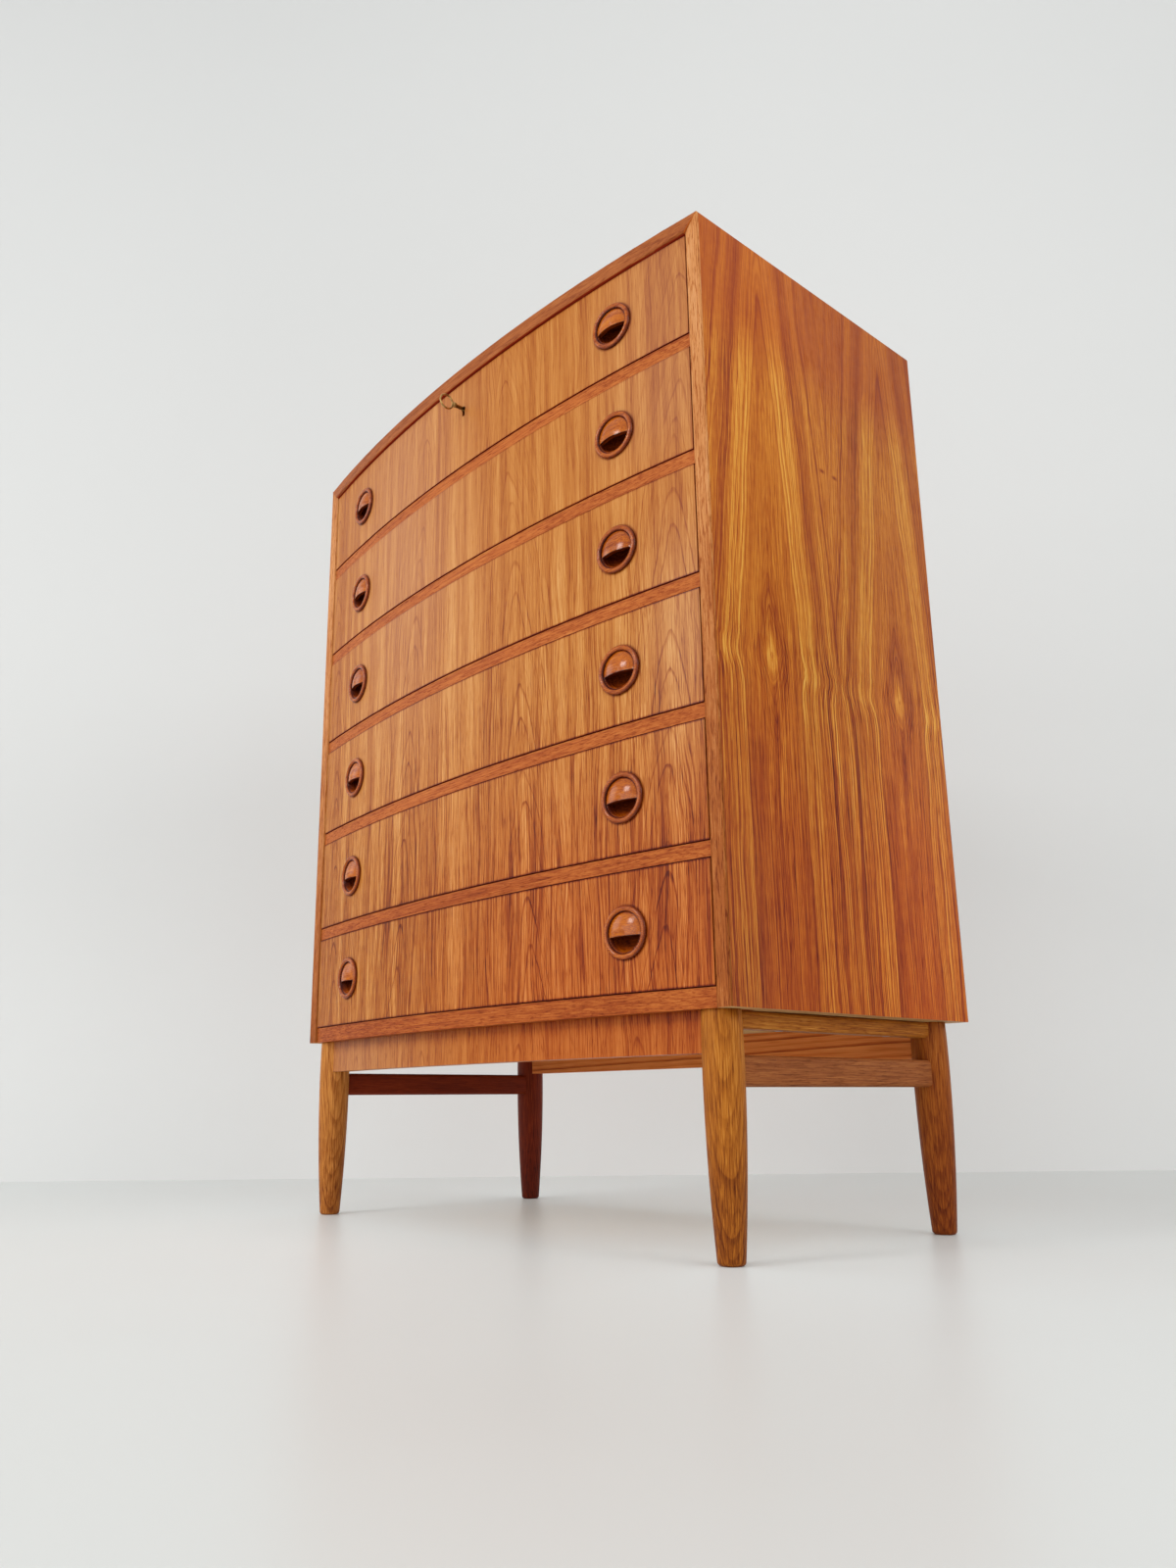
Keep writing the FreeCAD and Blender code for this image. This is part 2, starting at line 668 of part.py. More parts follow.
def turned_profile(sketch, groove):
    """Half the section of the pull: spigot, bead, groove and domed lid."""
    outside, spigot = value("dims.pull_radius"), value("dims.spigot_radius")
    foot, crest = value("dims.bead_foot"), value("dims.bead_height")
    inner, floor = value(groove), value("dims.groove_floor")
    crown, depth = value("dims.lid_height"), value("dims.spigot_depth")

    def point(radius, out):
        return FreeCAD.Vector(radius, -out, 0)

    top = (outside + inner) / 2
    bead_swell = point(top, crest)
    lid_swell = point(inner * 0.52, floor + (crown - floor) * 0.74)
    lines = [
        (point(0, -depth), point(spigot, -depth)),
        (point(spigot, -depth), point(spigot, 0)),
        (point(spigot, 0), point(outside, 0)),
        (point(outside, 0), point(outside, foot)),
    ]
    for start, end in lines:
        sketch.addGeometry(Part.LineSegment(start, end), False)
    bead = Part.Arc(point(outside, foot), bead_swell, point(inner, floor))
    lid = Part.Arc(point(inner, floor), lid_swell, point(0, crown))
    sketch.addGeometry(bead, False)
    sketch.addGeometry(lid, False)
    sketch.addGeometry(Part.LineSegment(point(0, crown), point(0, -depth)), False)

    def end_at(geometry, near_point):
        """Which end of a curve lies at a point."""
        first = sketch.getPoint(geometry, 1)
        return 1 if first.distanceToPoint(near_point) < 0.01 else 2

    for index in range(3):
        join(sketch, "Coincident", index, 2, index + 1, 1)
    corner = point(outside, foot)
    dip = point(inner, floor)
    top_of_lid = point(0, crown)
    join(sketch, "Coincident", 3, 2, 4, end_at(4, corner))
    join(sketch, "Coincident", 4, end_at(4, dip), 5, end_at(5, dip))
    join(sketch, "Coincident", 5, end_at(5, top_of_lid), 6, 1)
    join(sketch, "Coincident", 6, 2, 0, 1)
    join(sketch, "PointOnObject", 0, 1, -2)
    join(sketch, "PointOnObject", 5, 3, -2)
    join(sketch, "Vertical", 6)
    for index in (0, 2):
        join(sketch, "Horizontal", index)
    for index in (1, 3):
        join(sketch, "Vertical", index)
    fix(sketch, "spigot", ("DistanceX", -1, 1, 1, 1), "dims.spigot_radius")
    fix(sketch, "depth", ("DistanceY", -1, 1, 1, 1), "dims.spigot_depth")
    join(sketch, "PointOnObject", 1, 2, -1)
    fix(sketch, "outside", ("DistanceX", -1, 1, 3, 1), "dims.pull_radius")
    fix(sketch, "foot", ("DistanceY", 3, 2, -1, 1), "dims.bead_foot")
    fix(sketch, "groove", ("DistanceX", -1, 1, 4, end_at(4, dip)), groove)
    fix(sketch, "floor", ("DistanceY", 4, end_at(4, dip), -1, 1), "dims.groove_floor")
    fix(sketch, "crown", ("DistanceY", 6, 1, -1, 1), "dims.lid_height")
    fix(sketch, "bead", ("Radius", 4), f"{bead_radius(groove)}")


def bead_radius(groove):
    """Radius of the bead: an arc over its two feet that rises to the crest."""
    chord = f"sqrt((dims.pull_radius - {groove}) ^ 2 + (dims.bead_foot - dims.groove_floor) ^ 2)"
    rise = "(dims.bead_height - (dims.bead_foot + dims.groove_floor) / 2)"
    return f"({chord} ^ 2 / (8 * {rise}) + {rise} / 2)"


def cup_profile(sketch):
    """Half the section of the finger cup: a bowl under the lid's hollow face."""
    radius = value("dims.cup_radius")
    roof = value("dims.lid_height - dims.lid_thickness")
    eave = roof - value("dims.lid_height - dims.groove_floor")
    floor = value("dims.spigot_depth - dims.cup_floor")
    wall_end = FreeCAD.Vector(radius, floor / 2, 0)
    eave_point = FreeCAD.Vector(radius, -eave, 0)
    roof_point = FreeCAD.Vector(0, -roof, 0)
    floor_point = FreeCAD.Vector(0, floor, 0)
    bowl_swell = FreeCAD.Vector(radius * 0.72, floor * 0.87, 0)
    sketch.addGeometry(Part.LineSegment(roof_point, eave_point), False)
    sketch.addGeometry(Part.LineSegment(eave_point, wall_end), False)
    sketch.addGeometry(Part.Arc(wall_end, bowl_swell, floor_point), False)
    sketch.addGeometry(Part.LineSegment(floor_point, roof_point), False)
    first = sketch.getPoint(2, 1)
    wall_side = 1 if first.distanceToPoint(wall_end) < 0.01 else 2
    floor_side = 3 - wall_side
    join(sketch, "Coincident", 0, 2, 1, 1)
    join(sketch, "Coincident", 1, 2, 2, wall_side)
    join(sketch, "Coincident", 2, floor_side, 3, 1)
    join(sketch, "Coincident", 3, 2, 0, 1)
    join(sketch, "PointOnObject", 0, 1, -2)
    join(sketch, "PointOnObject", 3, 1, -2)
    join(sketch, "PointOnObject", 2, 3, -2)
    join(sketch, "Vertical", 1)
    fix(sketch, "roof", ("DistanceY", 0, 1, -1, 1), "dims.lid_height - dims.lid_thickness")
    fix(sketch, "cup", ("DistanceX", -1, 1, 1, 1), "dims.cup_radius")
    fix(sketch, "eave", ("DistanceY", -1, 1, 1, 1), "dims.lid_thickness - dims.groove_floor")
    fix(sketch, "wall", ("DistanceY", -1, 1, 1, 2), "(dims.spigot_depth - dims.cup_floor) / 2")
    fix(sketch, "floor", ("DistanceY", -1, 1, 3, 1), "dims.spigot_depth - dims.cup_floor")


def mouth_outline(sketch, radius):
    """The opening under the lid: a circle's part below the lid's lower edge."""
    size, drop = value(radius), value("dims.lid_drop")
    half = math.sqrt(size ** 2 - drop ** 2)
    dip = math.asin(drop / size)
    circle = Part.Circle(FreeCAD.Vector(0, 0, 0), FreeCAD.Vector(0, 0, 1), size)
    rim = Part.ArcOfCircle(circle, math.pi + dip, 2 * math.pi - dip)
    ends = FreeCAD.Vector(half, -drop, 0), FreeCAD.Vector(-half, -drop, 0)
    sketch.addGeometry(rim, False)
    sketch.addGeometry(Part.LineSegment(*ends), False)
    join(sketch, "Coincident", 0, 2, 1, 1)
    join(sketch, "Coincident", 1, 2, 0, 1)
    join(sketch, "Coincident", 0, 3, -1, 1)
    join(sketch, "Horizontal", 1)
    fix(sketch, "rim", ("Radius", 0), radius)
    fix(sketch, "drop", ("DistanceY", 1, 1, -1, 1), "dims.lid_drop")


def drawer_side(side):
    """A drawer side before its grooves are cut, with three dovetails at the front."""
    x = f"{DRAWER_HALF} - dims.box_thickness" if side == "right" else f"-{DRAWER_HALF}"
    body = new_body(f"drawer_side_{side}", x)
    sketch = sketch_on(body, f"drawer_side_outline_{side}", "YZ_Plane")
    low = "dims.running_gap"
    high = f"({OPENING} - dims.box_drop)"
    shoulder = f"({FRONT} + dims.tail_shoulder)"
    tip = f"({FRONT} + dims.tail_setback)"
    end = f"({BACK_FACE} - dims.box_back_gap)"
    root, wide = "dims.tail_width / 2", "(dims.tail_width / 2 + dims.tail_flare)"
    points = [(end, low), (end, high), (shoulder, high)]
    for number in (2.5, 1.5, 0.5):
        middle = f"({low} + ({high} - {low}) * {number} / 3)"
        points.append((shoulder, f"{middle} + {root}"))
        points.append((tip, f"{middle} + {wide}"))
        points.append((tip, f"{middle} - {wide}"))
        points.append((shoulder, f"{middle} - {root}"))
    points.append((shoulder, low))
    polygon(sketch, points)
    pad(body, sketch, f"drawer_side_pad_{side}", "dims.box_thickness")
    return body


def drawer_pieces():
    """One drawer, with its opening's floor at height zero."""
    blank, board = bowed_board(
        "drawer_front_blank",
        "dims.gap_below",
        f"{OPENING} - dims.gap_above - dims.gap_below",
        DRAWER_HALF,
        FACE,
        back_radius=f"{FACE} - dims.front_thickness",
    )
    panel, _ = bowed_board(
        "drawer_panel",
        "dims.panel_height",
        "dims.panel_thickness",
        f"{DRAWER_HALF} - dims.box_thickness + dims.panel_groove",
        f"{FACE} - dims.front_thickness + dims.panel_groove",
        back_y=f"{BACK_FACE} - dims.box_back_gap - {CENTRE}",
    )
    sides = [drawer_side(side) for side in ("left", "right")]
    above_panel = "(dims.panel_height + dims.panel_thickness)"
    back = centred(
        "drawer_back_board",
        f"{BACK_FACE} - dims.box_back_gap - dims.box_back_inset - dims.box_thickness",
        above_panel,
        f"2 * ({DRAWER_HALF} - dims.box_thickness + dims.dado_depth)",
        "dims.box_thickness",
        f"{OPENING} - dims.box_drop - {above_panel}",
    )
    pulls = [pull(side) for side in ("left", "right")]
    bores = [pull_bore(side) for side in ("left", "right")]
    front = cut("drawer_front_fitted", blank, *sides, panel, *bores)
    grooved = [
        cut(f"drawer_side_{side}_grooved", board, panel, back)
        for side, board in zip(("left", "right"), sides)
    ]
    return front, grooved, back, panel, pulls


def pull_bore(side):
    """The blind hole that a pull's spigot fills, square to the bowed face."""
    length = "dims.spigot_depth + dims.bow_depth"
    hole = rod(
        f"pull_hole_{side}", "dims.spigot_radius", length, "0", "-dims.bow_depth", "0", (0, 1, 0)
    )
    return square_to_face(group(f"pull_bore_{side}", [hole]), side)


def drawer_floor(number):
    """Height of the opening's floor for drawer number, counted from the top."""
    return f"{FIRST} + {DRAWERS - number} * {STEP}"


def make_drawers():
    """The six drawers; only the uppermost is cut for a lock."""
    front, sides, back, panel, pulls = drawer_pieces()
    lock, openings = make_lock()
    parts = list(lock)
    for number in range(1, DRAWERS + 1):
        floor = drawer_floor(number)
        name = f"drawer_{number}"
        if number == 1:
            plain = group("drawer_1_front_plain", [front], floor)
            parts.append(cut("drawer_1_front", plain, *openings))
        else:
            parts.append(group(f"{name}_front", [front], floor))
        parts.append(group(f"{name}_sides", sides, floor))
        parts.append(group(f"{name}_back", [back], floor))
        parts.append(group(f"{name}_bottom", [panel], floor))
        parts.append(group(f"{name}_pulls", pulls, floor))
    return parts


# ------------------------------------------------------------------ lock


def make_lock():
    """Lock case, bolt and key, and the openings that they need in the drawer front."""
    axis_z = f"({CASE_TOP} - dims.top_thickness - dims.key_drop)"
    front_top = f"({CASE_TOP} - dims.top_thickness - dims.gap_above)"
    case_y = f"({FACE_Y} + dims.lock_setback)"
    case_z = f"({front_top} - dims.lock_height)"
    shell = centred(
        "lock_shell", case_y, case_z, "dims.lock_width", "dims.lock_depth", "dims.lock_height"
    )
    room_depth = "(dims.lock_depth - 2 * dims.lock_wall)"
    room = centred(
        "lock_room",
        f"{case_y} + dims.lock_wall",
        f"{case_z} + dims.lock_wall",
        "dims.lock_width - 2 * dims.lock_wall",
        room_depth,
        "dims.lock_height - 2 * dims.lock_wall",
    )
    bolt_y = f"({case_y} + dims.lock_wall + {room_depth} - dims.lock_play - dims.bolt_thickness)"
    gate = centred(
        "bolt_gate",
        f"{bolt_y} - dims.lock_play",
        f"{front_top} - dims.lock_wall - 1",
        "dims.bolt_width + 2 * dims.lock_play",
        "dims.bolt_thickness + 2 * dims.lock_play",
        "dims.lock_wall + 2",
    )
    inward = (0, 1, 0)
    eye = rod(
        "lock_eye", "dims.key_radius + dims.key_fit", "dims.lock_wall + 2",
        "0", f"{case_y} - 1", axis_z, inward,
    )
    eye_slot = centred(
        "lock_eye_slot",
        f"{case_y} - 1",
        f"{axis_z} - dims.bit_reach - dims.lock_play",
        "dims.bit_thickness + 2 * dims.lock_play",
        "dims.lock_wall + 2",
        "dims.bit_reach + dims.lock_play",
    )
    case = cut("lock_case", shell, room, gate, eye, eye_slot)

    # The bolt is a plate with a talon in front of it, which the key's bit lifts.
    plate = centred(
        "bolt_plate",
        bolt_y,
        f"{axis_z} - dims.talon_rest",
        "dims.bolt_width",
        "dims.bolt_thickness",
        f"{front_top} - dims.lock_play - {axis_z} + dims.talon_rest",
    )
    bit_y = f"({case_y} + dims.lock_wall + dims.lock_play)"
    talon = box(
        "bolt_talon",
        "dims.talon_start",
        bit_y,
        f"{axis_z} - dims.talon_rest",
        "dims.talon_width",
        f"{bolt_y} - {bit_y} + dims.bolt_thickness / 2",
        "dims.talon_height",
    )
    bolt = fuse("lock_bolt", plate, talon)

    # The key: a ring-shaped bow, a collar, a shank and a flat bit that hangs down.
    bit_depth = f"({bolt_y} - dims.lock_play - {bit_y})"
    bow = ring(
        "key_bow", "dims.key_bow_radius", "dims.key_bow_rim",
        f"{FACE_Y} - dims.key_reach + dims.key_bow_radius", axis_z,
    )
    shank_y = f"({FACE_Y} - dims.key_reach + 2 * dims.key_bow_radius - dims.key_bow_rim / 2)"
    shank = rod(
        "key_shank", "dims.key_radius", f"{bit_y} + {bit_depth} - {shank_y}",
        "0", shank_y, axis_z, inward,
    )
    collar = rod(
        "key_collar", "dims.collar_radius", "dims.collar_length",
        "0", f"{shank_y} + dims.key_bow_rim / 2", axis_z, inward,
    )
    bit = centred(
        "key_bit",
        bit_y,
        f"{axis_z} - dims.bit_reach",
        "dims.bit_thickness",
        bit_depth,
        "dims.bit_reach",
    )
    key = fuse("key", bow, shank, collar, bit)

    # In the wood: a mortise open at the back and at the top, and the keyhole.
    mortise = centred(
        "lock_mortise",
        case_y,
        case_z,
        "dims.lock_width",
        "dims.lock_depth + dims.front_thickness",
        "dims.lock_height + dims.gap_above",
    )
    hole_length = "dims.lock_setback + 2 * dims.front_recess"
    hole_y = f"{FACE_Y} - dims.front_recess"
    keyhole = rod("keyhole", "dims.keyhole_radius", hole_length, "0", hole_y, axis_z, inward)
    slot = centred(
        "keyhole_slot_cut",
        hole_y,
        f"{axis_z} - dims.bit_reach - dims.lock_play",
        "dims.keyhole_slot",
        hole_length,
        "dims.bit_reach + dims.lock_play",
    )
    return (case, bolt, key), (mortise, keyhole, slot)


def ring(name, outside, rim, y, z):
    """An upright ring of round rod, seen as a circle from the side of the chest."""
    loop = doc.addObject("Part::Torus", name)
    upright = FreeCAD.Rotation(FreeCAD.Vector(0, 0, 1), FreeCAD.Vector(1, 0, 0))
    loop.Placement = FreeCAD.Placement(FreeCAD.Vector(0, 0, 0), upright)
    bind(loop, Radius1=f"{outside} - {rim} / 2", Radius2=f"{rim} / 2")
    return place(loop, "0", y, z)


# ----------------------------------------------------------------- stand


def leg_turning(side, end):
    """A turned leg: a slim foot, a slow swell to the belly, and a slight neck."""
    x = LEG_X if side == "right" else f"-{LEG_X}"
    body = new_body(f"turning_{end}_{side}", x, LEG_FRONT if end == "front" else LEG_BACK)
    sketch = sketch_on(body, f"leg_profile_{end}_{side}", "XZ_Plane")
    foot, belly = value("dims.leg_foot_radius"), value("dims.leg_belly_radius")
    neck, waist = value("dims.leg_top_radius"), value("dims.leg_belly_height")
    height, swell = value("dims.leg_height"), value("dims.leg_swell")
    chord = math.hypot(belly - foot, waist)
    half_way = FreeCAD.Vector((foot + belly) / 2, waist / 2, 0)
    outward = FreeCAD.Vector(waist / chord, -(belly - foot) / chord, 0)
    foot_point = FreeCAD.Vector(foot, 0, 0)
    belly_point = FreeCAD.Vector(belly, waist, 0)
    top_point = FreeCAD.Vector(neck, height, 0)
    lower = Part.Arc(foot_point, half_way + outward * swell, belly_point)
    upper_middle = (belly_point + top_point) * 0.5 + FreeCAD.Vector(swell / 5, 0, 0)
    upper = Part.Arc(belly_point, upper_middle, top_point)
    axis_foot, axis_top = FreeCAD.Vector(0, 0, 0), FreeCAD.Vector(0, height, 0)
    sketch.addGeometry(Part.LineSegment(axis_foot, foot_point), False)
    sketch.addGeometry(lower, False)
    sketch.addGeometry(upper, False)
    sketch.addGeometry(Part.LineSegment(top_point, axis_top), False)
    sketch.addGeometry(Part.LineSegment(axis_top, axis_foot), False)

    def end_at(geometry, point):
        return 1 if sketch.getPoint(geometry, 1).distanceToPoint(point) < 0.01 else 2

    join(sketch, "Coincident", 0, 1, -1, 1)
    join(sketch, "Coincident", 0, 2, 1, end_at(1, foot_point))
    join(sketch, "Tangent", 1, end_at(1, belly_point), 2, end_at(2, belly_point))
    join(sketch, "Coincident", 2, end_at(2, top_point), 3, 1)
    join(sketch, "Coincident", 3, 2, 4, 1)
    join(sketch, "Coincident", 4, 2, 0, 1)
    join(sketch, "Horizontal", 0)
    join(sketch, "Horizontal", 3)
    join(sketch, "Vertical", 4)
    fix(sketch, "foot", ("DistanceX", -1, 1, 0, 2), "dims.leg_foot_radius")
    fix(sketch, "belly", ("DistanceX", -1, 1, 1, end_at(1, belly_point)), "dims.leg_belly_radius")
    fix(sketch, "waist", ("DistanceY", -1, 1, 1, end_at(1, belly_point)), "dims.leg_belly_height")
    fix(sketch, "neck", ("DistanceX", -1, 1, 3, 1), "dims.leg_top_radius")
    fix(sketch, "tall", ("DistanceY", -1, 1, 3, 1), "dims.leg_height")
    rise = "(dims.leg_belly_radius - dims.leg_foot_radius)"
    span = f"({rise} ^ 2 + dims.leg_belly_height ^ 2)"
    fix(sketch, "swell", ("Radius", 1), f"{span} / (8 * dims.leg_swell) + dims.leg_swell / 2")
    revolution = body.newObject("PartDesign::Revolution", f"leg_turned_{end}_{side}")
    revolution.Profile = sketch
    revolution.ReferenceAxis = (sketch, ["V_Axis"])
    revolution.Angle = 360
    doc.recompute()

    def under_foot(edge):
        return near(middle_of(edge).z, 0) and edge.Length > foot

    soften(body, revolution, f"leg_round_{end}_{side}", "dims.leg_foot_round", under_foot)
    return body


def side_member(name, side, z, height):
    """A straight rail between two legs with softened long edges, before it is scribed."""
    x = LEG_X if side == "right" else f"-{LEG_X}"
    body = new_body(f"{name}_blank", x, LEG_FRONT, z)
    sketch = sketch_on(body, f"{name}_section", "XZ_Plane")
    half = "dims.stretcher_width / 2"
    polygon(sketch, [(f"-{half}", "0"), (half, "0"), (half, height), (f"-{half}", height)])
    board = pad(body, sketch, f"{name}_pad", f"{LEG_BACK} - {LEG_FRONT}", reverse=True)

    def along(edge):
        return near(abs(edge.Vertexes[0].Y - edge.Vertexes[-1].Y), edge.Length)

    soften(body, board, f"{name}_round", "dims.stretcher_round", along)
    tenon = box(
        f"{name}_tenon",
        f"{x} - dims.stand_tenon / 2",
        f"{LEG_FRONT} + dims.tenon_end",
        f"{z} + dims.tenon_shoulder",
        "dims.stand_tenon",
        f"{LEG_BACK} - {LEG_FRONT} - 2 * dims.tenon_end",
        f"{height} - 2 * dims.tenon_shoulder",
    )
    return body, tenon


def make_stand(screws):
    """Four turned legs joined by side stretchers, upper rails and two aprons."""
    apron_z = "(dims.leg_height - dims.apron_height)"
    tenon_z = f"({apron_z} + dims.tenon_shoulder)"
    tenon_height = "dims.apron_height - 2 * dims.tenon_shoulder"
    legs = {
        (end, side): leg_turning(side, end)
        for end in ("front", "back")
        for side in ("left", "right")
    }
    tenons = {key: [] for key in legs}
    parts = []
    members = (
        ("side_stretcher", "(dims.stretcher_top - dims.stretcher_height)", "dims.stretcher_height"),
        ("upper_rail", "(dims.leg_height - dims.upper_rail_height)", "dims.upper_rail_height"),
    )
    for stem, z, height in members:
        for side in ("left", "right"):
            name = f"{stem}_{side}"
            blank, tenon = side_member(name, side, z, height)
            front, back = legs["front", side], legs["back", side]
            scribed = cut(f"{name}_scribed", blank, front, back)
            if stem == "upper_rail":
                joined = fuse(f"{name}_joined", scribed, tenon)
                parts.append(cut(name, joined, screws))
            else:
                parts.append(fuse(name, scribed, tenon))
            tenons["front", side].append(tenon)
            tenons["back", side].append(tenon)

    bowed, _ = bowed_board(
        "front_apron_blank",
        apron_z,
        "dims.apron_height",
        LEG_X,
        f"{BOW} - dims.apron_recess",
        back_radius=f"{BOW} - dims.apron_recess - dims.apron_thickness",
    )
    scribed = cut("front_apron_scribed", bowed, legs["front", "left"], legs["front", "right"])
    ends = []
    for side in ("left", "right"):
        inner = "(dims.tenon_end + dims.apron_tenon)"
        x = f"{LEG_X} - {inner}" if side == "right" else f"-{LEG_X} + dims.tenon_end"
        tenon = box(
            f"front_apron_tenon_{side}",
            x,
            f"{LEG_FRONT} - dims.stand_tenon / 2",
            tenon_z,
            "dims.apron_tenon",
            "dims.stand_tenon",
            tenon_height,
        )
        ends.append(tenon)
        tenons["front", side].append(tenon)
    parts.append(fuse("front_apron", scribed, *ends))

    straight = centred(
        "back_apron_blank",
        f"{LEG_BACK} - dims.apron_thickness / 2",
        apron_z,
        f"2 * {LEG_X}",
        "dims.apron_thickness",
        "dims.apron_height",
    )
    scribed = cut("back_apron_scribed", straight, legs["back", "left"], legs["back", "right"])
    tenon = centred(
        "back_apron_tenon",
        f"{LEG_BACK} - dims.stand_tenon / 2",
        tenon_z,
        f"2 * ({LEG_X} - dims.tenon_end)",
        "dims.stand_tenon",
        tenon_height,
    )
    for side in ("left", "right"):
        tenons["back", side].append(tenon)
    parts.append(fuse("back_apron", scribed, tenon))

    for (end, side), turning in legs.items():
        parts.append(cut(f"leg_{end}_{side}", turning, *tenons[end, side]))
    return parts


# ---------------------------------------------------------- whole and files

case_parts = make_case()
screws_into_bottom = doc.getObject("stand_screws")
sub_parts = case_parts + make_stand(screws_into_bottom) + make_drawers()
doc.recompute()

for thing in doc.Objects:
    if "Invalid" in thing.State or "Error" in thing.State:
        raise RuntimeError(f"{thing.Name} failed: {thing.State}")
for part in sub_parts:
    part.Label = part.Name
    if part.Shape.isNull() or not part.Shape.isValid():
        raise RuntimeError(f"{part.Name} has no valid shape")

os.makedirs("parts", exist_ok=True)
for part in sub_parts:
    part.Shape.exportStep(f"parts/{part.Label}.step")
print(len(sub_parts), "sub-parts,", sum(len(part.Shape.Solids) for part in sub_parts), "solids")
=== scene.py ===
# %% [markdown]
# # A bow front chest of drawers
#
# A tall teak chest on a stand of turned oak legs. Its front bows out, its six drawers open by
# turned pulls with a lid like an eyelid, and a brass key stands in the top drawer. The joinery
# comes from the CAD model, which is loaded as a fixed frame. This file gives each piece its
# wood, its polish and its smooth shading.

# %% Load the frame
import json
import math

import bmesh
import bpy
import numpy as np
from mathutils import Matrix, Vector


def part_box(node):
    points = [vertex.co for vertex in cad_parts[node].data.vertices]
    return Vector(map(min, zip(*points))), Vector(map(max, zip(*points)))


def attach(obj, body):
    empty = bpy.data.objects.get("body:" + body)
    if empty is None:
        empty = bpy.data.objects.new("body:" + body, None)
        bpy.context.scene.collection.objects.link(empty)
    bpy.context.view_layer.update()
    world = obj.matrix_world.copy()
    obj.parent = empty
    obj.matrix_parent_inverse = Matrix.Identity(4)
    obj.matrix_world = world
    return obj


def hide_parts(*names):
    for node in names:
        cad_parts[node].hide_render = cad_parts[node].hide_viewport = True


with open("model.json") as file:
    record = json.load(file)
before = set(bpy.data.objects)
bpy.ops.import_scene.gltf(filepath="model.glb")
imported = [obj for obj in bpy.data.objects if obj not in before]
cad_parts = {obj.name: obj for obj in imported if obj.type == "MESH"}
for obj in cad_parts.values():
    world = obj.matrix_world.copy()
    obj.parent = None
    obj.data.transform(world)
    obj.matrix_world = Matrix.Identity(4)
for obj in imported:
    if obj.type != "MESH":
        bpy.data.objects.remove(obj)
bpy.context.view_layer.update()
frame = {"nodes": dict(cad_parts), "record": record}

# %% [markdown]
# ## Sizes that come from the frame
#
# The patterns need to know where the case starts and where the centre of its bow lies. Both
# could be typed in, but boxes around a few nodes give them too, so a change of the CAD model
# carries through. An arc that rises by d over a half-width w has the radius w * w / 2d + d / 2,
# and its centre lies that far behind its foremost point.

# %% Places
MM = 0.001
side_low, side_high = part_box("side_panel_right")
top_low, top_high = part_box("top_panel")
_, leg_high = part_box("leg_front_right")

FRONT_Y = side_low[1]
CASE_X = side_high[0]
CASE_Z = leg_high[2]
TOP_Z = top_high[2]
BOW_DEPTH = FRONT_Y - top_low[1]
BOW_CENTRE = top_low[1] + CASE_X ** 2 / (2 * BOW_DEPTH) + BOW_DEPTH / 2
print(f"case {2 * CASE_X:.3f} m wide, {TOP_Z - CASE_Z:.3f} m high, front edges at {FRONT_Y:.4f}")

# %% [markdown]
# ## The camera
#
# The chest is seen from low down and from its right, so that it towers a little. The camera
# stands 15 cm above the floor and looks up. A turn given as pitch, yaw and roll is easy to read,
# so the three axes of the camera are worked out from it. The lens follows from a focal length
# in pixels, and a small shift puts the picture's middle where it belongs.

# %% Camera
CAMERA_ACROSS, CAMERA_BEFORE, CAMERA_ABOVE = 1.118344, 0.829221, 0.148387
CAMERA_PLACE = Vector((CAMERA_ACROSS, FRONT_Y - CAMERA_BEFORE, CAMERA_ABOVE))
CAMERA_PITCH, CAMERA_YAW, CAMERA_ROLL = 0.24223037, 0.85471318, -0.01015159
LONG_SIDE, SHORT_SIDE = 1600, 1200
FOCAL_PIXELS = 1175.913
CENTRE_X, CENTRE_Y = 575.929, 833.191
SENSOR_WIDTH = 36.0
NEAREST = 0.01


def camera_axes(pitch, yaw, roll):
    """Right, up and forward: turned about the upright by yaw, lifted by pitch, then rolled."""
    forward = Vector((
        -math.sin(yaw) * math.cos(pitch), math.cos(yaw) * math.cos(pitch), math.sin(pitch)
    ))
    level = Vector((math.cos(yaw), math.sin(yaw), 0.0))
    upright = level.cross(forward)
    right = math.cos(roll) * level + math.sin(roll) * upright
    up = -math.sin(roll) * level + math.cos(roll) * upright
    return right, up, forward


right, up, forward = camera_axes(CAMERA_PITCH, CAMERA_YAW, CAMERA_ROLL)
turn = Matrix((right, up, -forward)).transposed()
camera = bpy.data.objects.new("camera", bpy.data.cameras.new("camera"))
bpy.context.scene.collection.objects.link(camera)
camera.matrix_world = Matrix.Translation(CAMERA_PLACE) @ turn.to_4x4()
camera.data.sensor_width = SENSOR_WIDTH
camera.data.lens = FOCAL_PIXELS / LONG_SIDE * SENSOR_WIDTH
camera.data.shift_x = (SHORT_SIDE / 2 - CENTRE_X) / LONG_SIDE
camera.data.shift_y = (CENTRE_Y - LONG_SIDE / 2) / LONG_SIDE
camera.data.clip_start = NEAREST
bpy.context.scene.camera = camera
print(f"lens {camera.data.lens:.2f} mm")

# %% [markdown]
# ## Shader maths as plain expressions
#
# Wood is mostly arithmetic: distances from the heart of the tree, cut into rings. The nodes
# could be added and linked one by one, but then the formula can't be read any more. A small
# class wraps a socket instead, so that `ring * 3 + 1` adds the Math nodes by itself.


